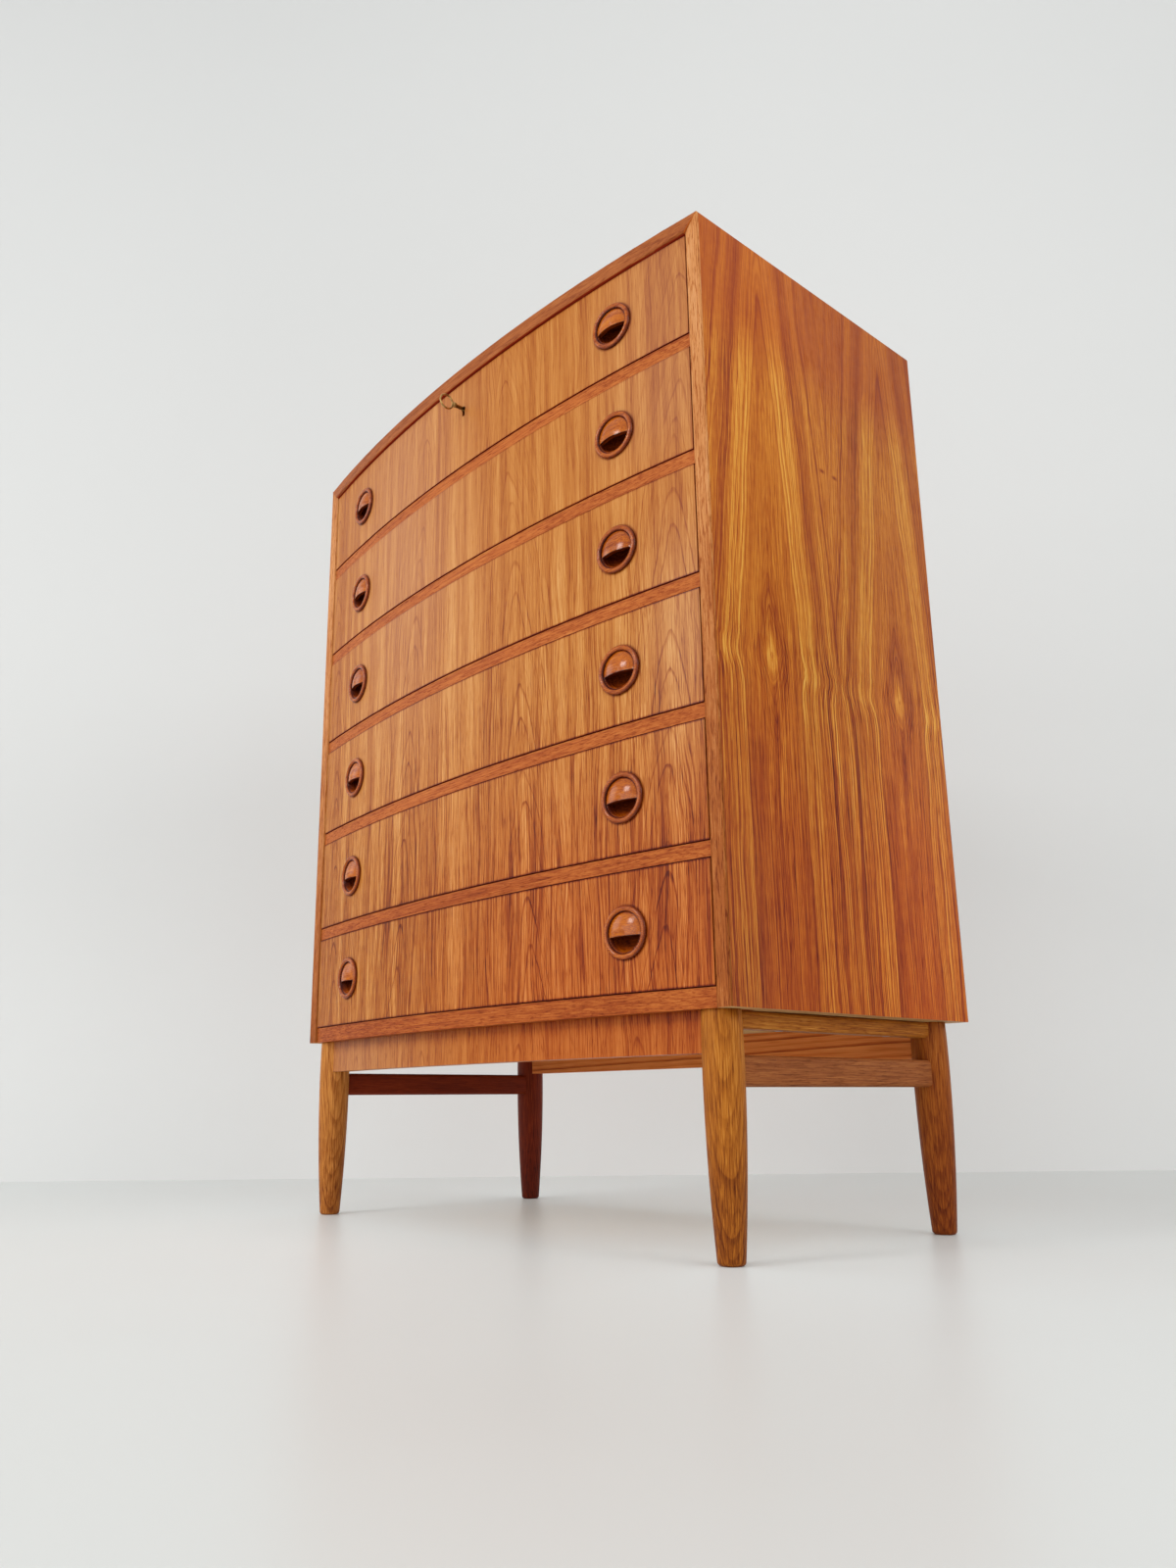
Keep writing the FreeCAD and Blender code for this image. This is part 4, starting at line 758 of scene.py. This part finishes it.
box_wood = solid_wood("drawer_box_wood", 1, (-40.0, 500.0), PALE_TONES, gloss=0.55)
back_wood = solid_wood("drawer_back_wood", 0, (500.0, -40.0), PALE_TONES, gloss=0.55)
runner_wood = solid_wood("runner_wood", 1, (100.0, 40.0), PALE_TONES, gloss=0.6)
ply_wood = solid_wood(
    "bottom_plywood", 0, (400.0, 2600.0), PALE_TONES, ring=22.0, dark=0.25, sway=40.0, gloss=0.6,
    lift=0.05,
)
back_ply = solid_wood(
    "back_plywood", 2, (60.0, 300.0), RAIL_TONES, ring=11.0, dark=0.25, sway=26.0, gloss=0.6,
    lift=0.08,
)
print("boxes and back:", box_wood.name, runner_wood.name, ply_wood.name, back_ply.name)

# %% [markdown]
# ## Turned pulls
#
# Each pull is turned on a lathe and let into the front: a bead, a groove, and a domed lid over the
# upper half of a finger cup. It is polished smoother than the front, so each lid shows the bright
# lamp. The groove, the bead's foot and the lid's lower edge have painted shade, and so has the cup
# under the lid, which turns to painted light towards its lower rim. That could be painted on an
# image, but rings of colour about the pull's own axis fit all twelve, and the faces of the cup get
# a duller finish.


# %% Pull finishes
PULL_TONES = [
    (0.0, (64, 12, 2)), (0.35, (142, 58, 5)), (0.55, (186, 96, 12)),
    (0.8, (208, 126, 28)), (1.0, (224, 156, 60)),
]
PULL_GROOVE = PULL_RADIUS - 6.4
CUP_RADIUS = 21.0
LID_DROP = 4.0
# painted shade under the lid's lower edge
LID_SHADOW_COLOUR = srgb(60, 18, 8)


def turned_grain(wood):
    """Level grain, and where a point lies: off its pull's axis, and above its centre."""
    place = wood.place()
    tone, dash = grain_tone(
        wood, place, 0, (-420.0, 300.0), ring=10.0, dark=0.10, pore=0.10, sway=10.0,
    )
    beside, above = from_pull(place[0], place[2])
    return tone, dash, (beside * beside + above * above).root(), above


def pull_finish(name):
    """Turned teak, with painted shade in the groove, at the bead's foot and along the lid's lower
    edge.
    """
    wood = Finish(name)
    tone, dash, off_axis, above = turned_grain(wood)
    # painted shade in the groove and at the bead's foot
    groove = (off_axis - PULL_GROOVE).bell(0.9)
    foot = (off_axis - PULL_RADIUS).bell(1.1)
    ring = off_axis.step(PULL_GROOVE - 0.5, PULL_GROOVE + 0.5)
    colour = wood.tint(tone - 0.02 - groove * 0.44 - foot * 0.34 - ring * 0.05, PULL_TONES)
    # painted shade along the lid's lower edge
    lid_shadow = (above + LID_DROP).bell(0.5) * (1.0 - off_axis.step(20.6, 21.4))
    colour = wood.blend(lid_shadow, colour, LID_SHADOW_COLOUR)
    relief = wood.bump(dash, 0.015, 0.0003)
    return wood.surface(colour, 0.16 + dash * 0.04, relief, Specular_IOR_Level=0.3)


def hollow_finish(name):
    """Turned teak behind the lid, painted nearly black as shade under the lid, and warmer towards
    the lower rim as painted light.
    """
    wood = Finish(name)
    tone, dash, off_axis, above = turned_grain(wood)
    # painted shade under the lid and in the groove, painted light towards the lower rim
    groove = (off_axis - PULL_GROOVE).bell(0.9)
    low = 1.0 - above.step(-22.0, -8.0)
    colour = wood.tint(tone - 0.42 + low * 0.42 - groove * 0.42, PULL_TONES)
    relief = wood.bump(dash, 0.04, 0.0003)
    return wood.surface(colour, 0.5 + dash * 0.1, relief, Specular_IOR_Level=0.05)


pull_wood = pull_finish("turned_teak")
hollow_wood = hollow_finish("turned_teak_hollow")
print("pulls:", pull_wood.name, hollow_wood.name)

# %% [markdown]
# ## Brass and steel
#
# The key has been handled for decades, and its brass has gone cloudy: brighter here, browner
# there. The screws are plain zinc-plated steel. Both are bare metal, so all their colour is in
# the reflection; a soft noise tints it, and a stretched one scratches the gloss.


# %% Metals
def metal(name, tones, roughness, scale):
    """A worn metal: cloudy colour, and fine scratches in its gloss."""
    surface = Finish(name)
    x, y, z = surface.place()
    cloud = surface.noise_3d(x / scale, y / scale, z / scale, 3.0)
    scratch = surface.noise_3d(x / 0.3, y / 3.0, z / 0.3) - 0.5
    colour = surface.tint(cloud, tones)
    relief = surface.bump(scratch, 0.08, 0.0002)
    return surface.surface(colour, roughness + scratch * 0.2 + cloud * 0.1, relief, Metallic=1.0)


brass = metal("old_brass", [(0.3, (112, 80, 40)), (0.7, (206, 166, 104))], 0.28, 4.0)
steel = metal("zinc_steel", [(0.3, (120, 120, 122)), (0.7, (176, 176, 178))], 0.35, 3.0)
print("metals:", brass.name, steel.name)

# %% [markdown]
# ## Smooth copies of the boards
#
# The frame's meshes are loose triangles, so a bowed face would shine in flat strips. The frame
# itself must not be changed. So each node is replaced by a copy with its doubles merged, which
# is shaded smooth, with sharp edges kept where two faces meet at more than a set angle.

# %% Copies that ride on their body
MERGE_DISTANCE = 2e-6


def body_holding(node):
    """The body that a CAD node rides on."""
    bodies = frame["record"]["behaviour"]["bodies"]
    return next(name for name, nodes in bodies.items() if node in nodes)


def merged(node):
    """A copy of a node's mesh with its doubles merged, at its place."""
    source = frame["nodes"][node]
    work = bmesh.new()
    work.from_mesh(source.data)
    work.transform(source.matrix_world)
    bmesh.ops.remove_doubles(work, verts=work.verts, dist=MERGE_DISTANCE)
    mesh = bpy.data.meshes.new(f"{node}_smooth")
    work.to_mesh(mesh)
    work.free()
    return mesh


def new_piece(name, mesh, body):
    """A mesh as a piece of the object that rides on a body."""
    piece = bpy.data.objects.new(name, mesh)
    bpy.context.scene.collection.objects.link(piece)
    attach(piece, body)
    return piece


print("the key rides on", body_holding("key"))

# %% [markdown]
# ## Normals of the bow
#
# Even a smooth-shaded bow shows faint strips where its flat faces meet the upright edges. Each
# face that follows the bow looks away from the bow's centre, so its corners can be given the
# normal of the true cylinder: the direction from the centre to the corner, kept level.


# %% Faces, and normals about the bow's centre
FOLLOWS_BOW = 0.9995


def face_data(mesh):
    """Centre and outward direction of every face, as two arrays."""
    count = len(mesh.polygons)
    centre, outward = np.empty(count * 3), np.empty(count * 3)
    mesh.polygons.foreach_get("center", centre)
    mesh.polygons.foreach_get("normal", outward)
    return centre.reshape(-1, 3), outward.reshape(-1, 3)


def level_from_centre(places):
    """Level directions of length one that lead from the bow's centre to each place."""
    radial = places - (0.0, BOW_CENTRE, 0.0)
    radial[:, 2] = 0.0
    return radial / np.linalg.norm(radial, axis=1)[:, None]


def bend_normals(mesh, centre, outward):
    """Shades the faces that follow the bow as the true cylinder about its centre."""
    count = len(mesh.loops)
    normals, corners = np.empty(count * 3), np.empty(count, dtype=np.int32)
    mesh.corner_normals.foreach_get("vector", normals)
    mesh.loops.foreach_get("vertex_index", corners)
    normals = normals.reshape(-1, 3)
    places = np.empty(len(mesh.vertices) * 3)
    mesh.vertices.foreach_get("co", places)
    places = places.reshape(-1, 3)[corners]
    sizes = np.empty(len(mesh.polygons), dtype=np.int32)
    mesh.polygons.foreach_get("loop_total", sizes)
    along = (level_from_centre(centre) * outward).sum(axis=1)
    bowed = np.repeat(along > FOLLOWS_BOW, sizes)
    normals[bowed] = level_from_centre(places)[bowed]
    mesh.normals_split_custom_set(normals)


print(f"the bow's centre lies {BOW_CENTRE:.3f} m behind the origin")

# %% [markdown]
# ## Dressing a node
#
# A board wears more than one finish: veneer on its face, solid wood on its edges. Cutting it
# into pieces would open seams, so the faces are picked by where they lie and which way they
# look. The two groups of screws keep their own meshes and are only painted.

# %% Dress or paint a node
SHARP = math.radians(28.0)


def slot_of(node):
    """The record's material slot of a node."""
    subparts = frame["record"]["subparts"]
    return next(entry["material_slot"] for entry in subparts if entry["node"] == node)


def dress(node, base, *others, bowed=False):
    """Replaces a node by a smooth copy; others are (material, test of centre and outward)."""
    mesh = merged(node)
    centre, outward = face_data(mesh)
    mesh.materials.clear()
    mesh.materials.append(base)
    pick = np.zeros(len(mesh.polygons), dtype=np.int32)
    for number, (material, test) in enumerate(others, start=1):
        mesh.materials.append(material)
        pick[test(centre, outward)] = number
    mesh.polygons.foreach_set("material_index", pick)
    mesh.shade_smooth()
    mesh.set_sharp_from_angle(angle=SHARP)
    if bowed:
        bend_normals(mesh, centre, outward)
    piece = new_piece(f"{node}_wood", mesh, body_holding(node))
    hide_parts(node)
    slot_of(node)
    return piece


def paint(node, material):
    """A CAD node keeps its mesh and gets a material."""
    thing = frame["nodes"][node]
    if not thing.material_slots:
        thing.data.materials.append(material)
    for place in thing.material_slots:
        place.material = material
    return thing


paint("back_screws", steel)
paint("stand_screws", steel)
print("screws painted, in slots", slot_of("back_screws"), "and", slot_of("stand_screws"))

# %% [markdown]
# ## The case
#
# Side panels are veneered and end at the front in a solid teak edging, which also shows as a
# thin line along the panel's outer face. Their lower ends are bare. The top is one more
# veneered board with a bowed edging. Veneer drawn on an edge would run across it and give it
# away, so each edge has solid wood with the grain along its length.

# %% Faces of the case
EDGING = 0.004
FACING = 0.9


def edging_faces(centre, outward):
    """The front edge with its soft corners, and the back edge."""
    return (centre[:, 1] < FRONT_Y + EDGING) | (outward[:, 1] > FACING)


def front_band(centre, outward):
    """The bowed front edge with its soft corners, and the back edge."""
    return ((outward[:, 1] < -0.2) & (centre[:, 1] < 0.0)) | (outward[:, 1] > FACING)


def under_faces(centre, outward):
    """Faces that look straight down."""
    return outward[:, 2] < -FACING


def upper_faces(centre, outward):
    """Faces that look straight up."""
    return outward[:, 2] > FACING


print(f"edgings {EDGING / MM:.0f} mm deep")

# %% Dress the case
for side in ("left", "right"):
    dress(
        f"side_panel_{side}", side_veneer,
        (edging_upright, edging_faces), (box_wood, under_faces),
    )
# the face that looks down under the top gets painted shade
dress(
    "top_panel", top_veneer,
    (edging_level, front_band), (shadow_wood, under_faces), bowed=True,
)
# the faces of the dividers that look down get painted gap shade
for number in range(1, 6):
    dress(f"divider_{number}", rail_wood, (gap_shade_wood, under_faces), bowed=True)
dress("bottom_rail", rail_wood, bowed=True)
dress("bottom_panel", ply_wood)
dress("back_panel", back_ply)
for side in ("left", "right"):
    dress(f"runners_{side}", runner_wood)
print("case dressed")

# %% [markdown]
# ## The drawers
#
# Each front is veneered upright, its upper edge is solid teak, and its back is as pale as the
# box behind it. The box is left bare. The cup of each pull lies inside the bead and behind the
# drawer's face, so its faces are found by their distance from the pull's axis and by their
# depth.


# %% Faces of the drawers
def inner_faces(centre, outward):
    """Faces that look back into the drawer."""
    return outward[:, 1] > 0.3


def hollow_faces(centre, outward):
    """Faces inside the ring that lie below the lid, under it or behind the drawer's face."""
    x, y, z = (centre / MM).T
    turns = (z - PULL_HEIGHT) / DRAWER_STEP + 0.5
    above = (turns - np.floor(turns) - 0.5) * DRAWER_STEP
    inside = np.hypot(np.abs(x) - PULL_X, above) < CUP_RADIUS
    behind = np.hypot(x, y - BOW_CENTRE / MM) < FACE_RADIUS
    return inside & ((above < 0.3 - LID_DROP) | behind | inner_faces(centre, outward))


print(f"cups of radius {CUP_RADIUS} mm")

# %% Dress the drawers
# the faces of each front that look down get painted gap shade
for number in range(1, 7):
    dress(
        f"drawer_{number}_front", front_veneer,
        (box_wood, inner_faces), (gap_shade_wood, under_faces), (rail_wood, upper_faces), bowed=True,
    )
    dress(f"drawer_{number}_sides", box_wood)
    dress(f"drawer_{number}_back", back_wood)
    dress(f"drawer_{number}_bottom", ply_wood)
    dress(f"drawer_{number}_pulls", pull_wood, (hollow_wood, hollow_faces))
print("drawers dressed")

# %% [markdown]
# ## The stand
#
# The legs, stretchers and upper rails are oak, which is browner than teak and full of long dark
# pores. Each leg is sawn from its own place in the log, so each gets its own heart and no two show
# the same arches. Their tones differ too: the front left one is painted palest, as light from the
# left falls on it, and the far one is painted dark, as it stands in the shade of the case. The
# apron is teak like the case, and the board behind it is pine.

# %% Oak and pine
OAK_TONES = [
    (0.0, (86, 34, 6)), (0.3, (138, 72, 18)), (0.55, (178, 106, 32)),
    (0.8, (206, 140, 60)), (1.0, (228, 174, 100)),
]
# painted light: oak where light from the left falls on it
LIT_OAK_TONES = [
    (0.0, (96, 42, 14)), (0.3, (154, 86, 32)), (0.55, (198, 128, 58)),
    (0.8, (222, 158, 88)), (1.0, (236, 190, 126)),
]
BROWN_OAK_TONES = [
    (0.0, (78, 26, 6)), (0.3, (124, 56, 14)), (0.55, (158, 84, 24)),
    (0.8, (176, 106, 44)), (1.0, (200, 134, 72)),
]
# painted shade: oak in the shade of the case
SHADED_OAK_TONES = [
    (0.0, (52, 12, 4)), (0.3, (94, 28, 10)), (0.55, (122, 41, 14)),
    (0.8, (148, 60, 26)), (1.0, (172, 86, 44)),
]
STRETCHER_TONES = [
    (0.0, (74, 30, 12)), (0.4, (134, 72, 34)), (0.7, (166, 100, 52)), (1.0, (196, 134, 80)),
]
PINE_TONES = [
    (0.0, (140, 52, 16)), (0.4, (212, 116, 52)), (0.7, (238, 152, 84)), (1.0, (248, 186, 124)),
]

pine_wood = solid_wood(
    "pine_board", 0, (140.0, 330.0), PINE_TONES, ring=7.0, dark=0.45, pore=0.0, gloss=0.6,
)
stretcher_wood = solid_wood(
    "oak_stretcher", 1, (290.0, 60.0), STRETCHER_TONES, dark=0.12, pore=0.22, gloss=0.5,
    grain=1.2, fibrous=0.9,
)
# painted shade: the left stretcher lies in the shade of the case
shaded_stretcher = solid_wood(
    "oak_stretcher_dark", 1, (290.0, 60.0), SHADED_OAK_TONES, dark=0.08, gloss=0.5,
)
upper_rail_wood = solid_wood(
    "oak_upper_rail", 1, (290.0, 60.0), OAK_TONES, dark=0.16, pore=0.22, gloss=0.5,
    grain=1.2, fibrous=0.9,
)
print("stand:", stretcher_wood.name, upper_rail_wood.name, pine_wood.name)

# %% Dress the legs
LEGS = {
    "leg_front_right": (-20.0, 17.0, OAK_TONES),
    "leg_front_left": (-30.0, 14.0, LIT_OAK_TONES),
    "leg_back_right": (-44.0, 60.0, BROWN_OAK_TONES),
    "leg_back_left": (-34.0, -30.0, SHADED_OAK_TONES),
}
for node, (beside, behind, tones) in LEGS.items():
    low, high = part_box(node)
    middle_x = (low[0] + high[0]) / 2 / MM
    middle_y = (low[1] + high[1]) / 2 / MM
    oak = solid_wood(
        f"oak_{node}", 2, (middle_x + beside, middle_y + behind), tones,
        gloss=0.42, bump=0.3, ring=2.4, dark=0.20, pore=0.16, sway=6.0, taper=0.05,
        grain=1.15, fibrous=1.1, foot=(0.0, 190.0, 0.20),
    )
    dress(node, oak)
print("legs dressed")

# %% Dress the rest of the stand
dress("side_stretcher_left", shaded_stretcher)
dress("side_stretcher_right", stretcher_wood)
for side in ("left", "right"):
    dress(f"upper_rail_{side}", upper_rail_wood)
dress("front_apron", apron_veneer, bowed=True)
dress("back_apron", pine_wood)
print("stand dressed")

# %% [markdown]
# ## The lock and the key
#
# A lock sits behind the top drawer's front, and its key stays in the keyhole. The lock's case,
# its bolt and the key share one brass, whose cloud is worked out in space and so differs on
# each of them.

# %% Dress the lock and the key
for node in ("key", "lock_case", "lock_bolt"):
    dress(node, brass)
print("lock and key dressed")

# %% [markdown]
# ## Floor and wall
#
# A pale polished floor runs up to a pale wall. The wall stands close behind the chest and square to
# the view, which sets the height of the line where they meet. It would hide the chest from behind,
# so a Mix Shader makes its back see-through. Broad noise keeps both from looking flat, the floor
# has painted light under the chest, and the wall painted shade towards its top and left.


# %% Stage pieces
def flat_piece(name, corners, material):
    """One flat face through the corners, as part of the stage."""
    mesh = bpy.data.meshes.new(name)
    mesh.from_pydata(corners, [], [tuple(range(len(corners)))])
    mesh.materials.append(material)
    thing = bpy.data.objects.new(name, mesh)
    bpy.context.scene.collection.objects.link(thing)
    return thing


def clear_from_behind(finish):
    """The surface is there only for what comes from its front, so a view from behind is free."""
    back = finish.node("ShaderNodeNewGeometry", output="Backfacing")
    clear = finish.node("ShaderNodeBsdfTransparent")
    painted = Wire(finish, finish.shader.outputs[0])
    either = finish.node("ShaderNodeMixShader", {}, {0: back, 1: painted, 2: clear})
    finish.feed(finish.tree.nodes["Material Output"].inputs["Surface"], either)


print("stage: flat pieces and a one-sided paint")

# %% Floor paint and wall paint
floor_paint = Finish("floor_paint")
x, y, z = floor_paint.place()
patches = floor_paint.noise(x / 900.0, y / 900.0, 3.0)
# painted light: the floor is paler under and round the chest, lifting the shade the chest casts and
# its warm reflection
near = (x / 620.0).bell(1.0) * (y / 520.0).bell(1.0)
floor_tone = (patches - 0.5) * 0.3 + near
floor_scale = [(0.0, (216, 219, 217)), (1.0, (243, 250, 250))]
floor_colour = floor_paint.tint(floor_tone, floor_scale)
floor_paint.surface(floor_colour, 0.32 + patches * 0.08)

wall_paint = Finish("wall_paint")
x, y, z = wall_paint.place()
shade = wall_paint.noise(x / 1500.0, z / 1500.0)
# painted shade: the wall is darker towards the top and the left, to even out the lamps' light on it
wall_tone = x.step(-1500.0, 100.0) * 0.5 - z.step(150.0, 800.0) * 0.5 + 0.4 + shade * 0.2
wall_scale = [(0.0, (215, 216, 215)), (1.0, (238, 239, 238))]
wall_colour = wall_paint.tint(wall_tone, wall_scale)
wall_paint.surface(wall_colour, 0.8)
clear_from_behind(wall_paint)
print("stage paints:", floor_paint.material.name, wall_paint.material.name)

# %% Lay the floor and stand up the wall
WALL = 0.95
SPREAD = 9.0
away = Vector((forward.x, forward.y, 0.0)).normalized()
along_wall = Vector((-away.y, away.x, 0.0)) * SPREAD
foot = away * WALL
upwards = Vector((0.0, 0.0, SPREAD))
floor_corners = [
    (-SPREAD, -SPREAD, 0.0), (SPREAD, -SPREAD, 0.0), (SPREAD, SPREAD, 0.0), (-SPREAD, SPREAD, 0.0),
]
wall_corners = [
    foot + along_wall, foot - along_wall, foot - along_wall + upwards, foot + along_wall + upwards,
]
flat_piece("floor", floor_corners, floor_paint.material)
flat_piece("wall", [tuple(corner) for corner in wall_corners], wall_paint.material)
print(f"wall {WALL} m behind the origin")

# %% [markdown]
# ## Light
#
# One small bright lamp in front of the chest, high and a little to the left, puts the
# highlight on each lid. Larger and dimmer ones fill in from the left, the right, the side and
# below, and a white world fills the rest. Together they are kept at a level at which a colour
# renders about as it is written.


# %% Lamps
def lamp(name, place, aim, size, power, spread=180.0):
    """A rectangular area lamp at a place, turned towards its aim."""
    data = bpy.data.lights.new(name, "AREA")
    data.shape = "RECTANGLE"
    data.size, data.size_y = size
    data.energy = power
    data.spread = math.radians(spread)
    thing = bpy.data.objects.new(name, data)
    thing.location = place
    direction = Vector(aim) - Vector(place)
    thing.rotation_euler = direction.to_track_quat("-Z", "Y").to_euler()
    bpy.context.scene.collection.objects.link(thing)
    return thing


MIDDLE = (0.0, 0.0, 0.6)
lamp("key_light", (-0.45, -3.4, 2.4), MIDDLE, (0.85, 0.7), 26.5)
lamp("left_light", (-2.0, -1.5, 1.5), (0.0, -0.2, 0.6), (1.2, 1.2), 1.1, spread=70.0)
lamp("right_light", (1.8, -2.4, 2.2), MIDDLE, (1.0, 1.0), 7.0)
lamp("side_light", (3.0, 0.2, 1.8), MIDDLE, (1.2, 1.2), 15.0)
lamp("low_light", (-0.4, -2.8, 0.9), (0.0, 0.0, 0.2), (2.2, 1.0), 12.0)
print("lamps:", len(bpy.data.lights))

# %% World
ROOM_LIGHT = 0.85
world = bpy.data.worlds.new("room")
bpy.context.scene.world = world
world.use_nodes = True
room = world.node_tree.nodes["Background"]
room.inputs["Color"].default_value = (1.0, 1.0, 1.0, 1.0)
room.inputs["Strength"].default_value = ROOM_LIGHT
bpy.context.scene.view_settings.view_transform = "Standard"
print("room light", ROOM_LIGHT)

# %% [markdown]
# ## The end
#
# The dressed chest must fill the same box as the CAD model.
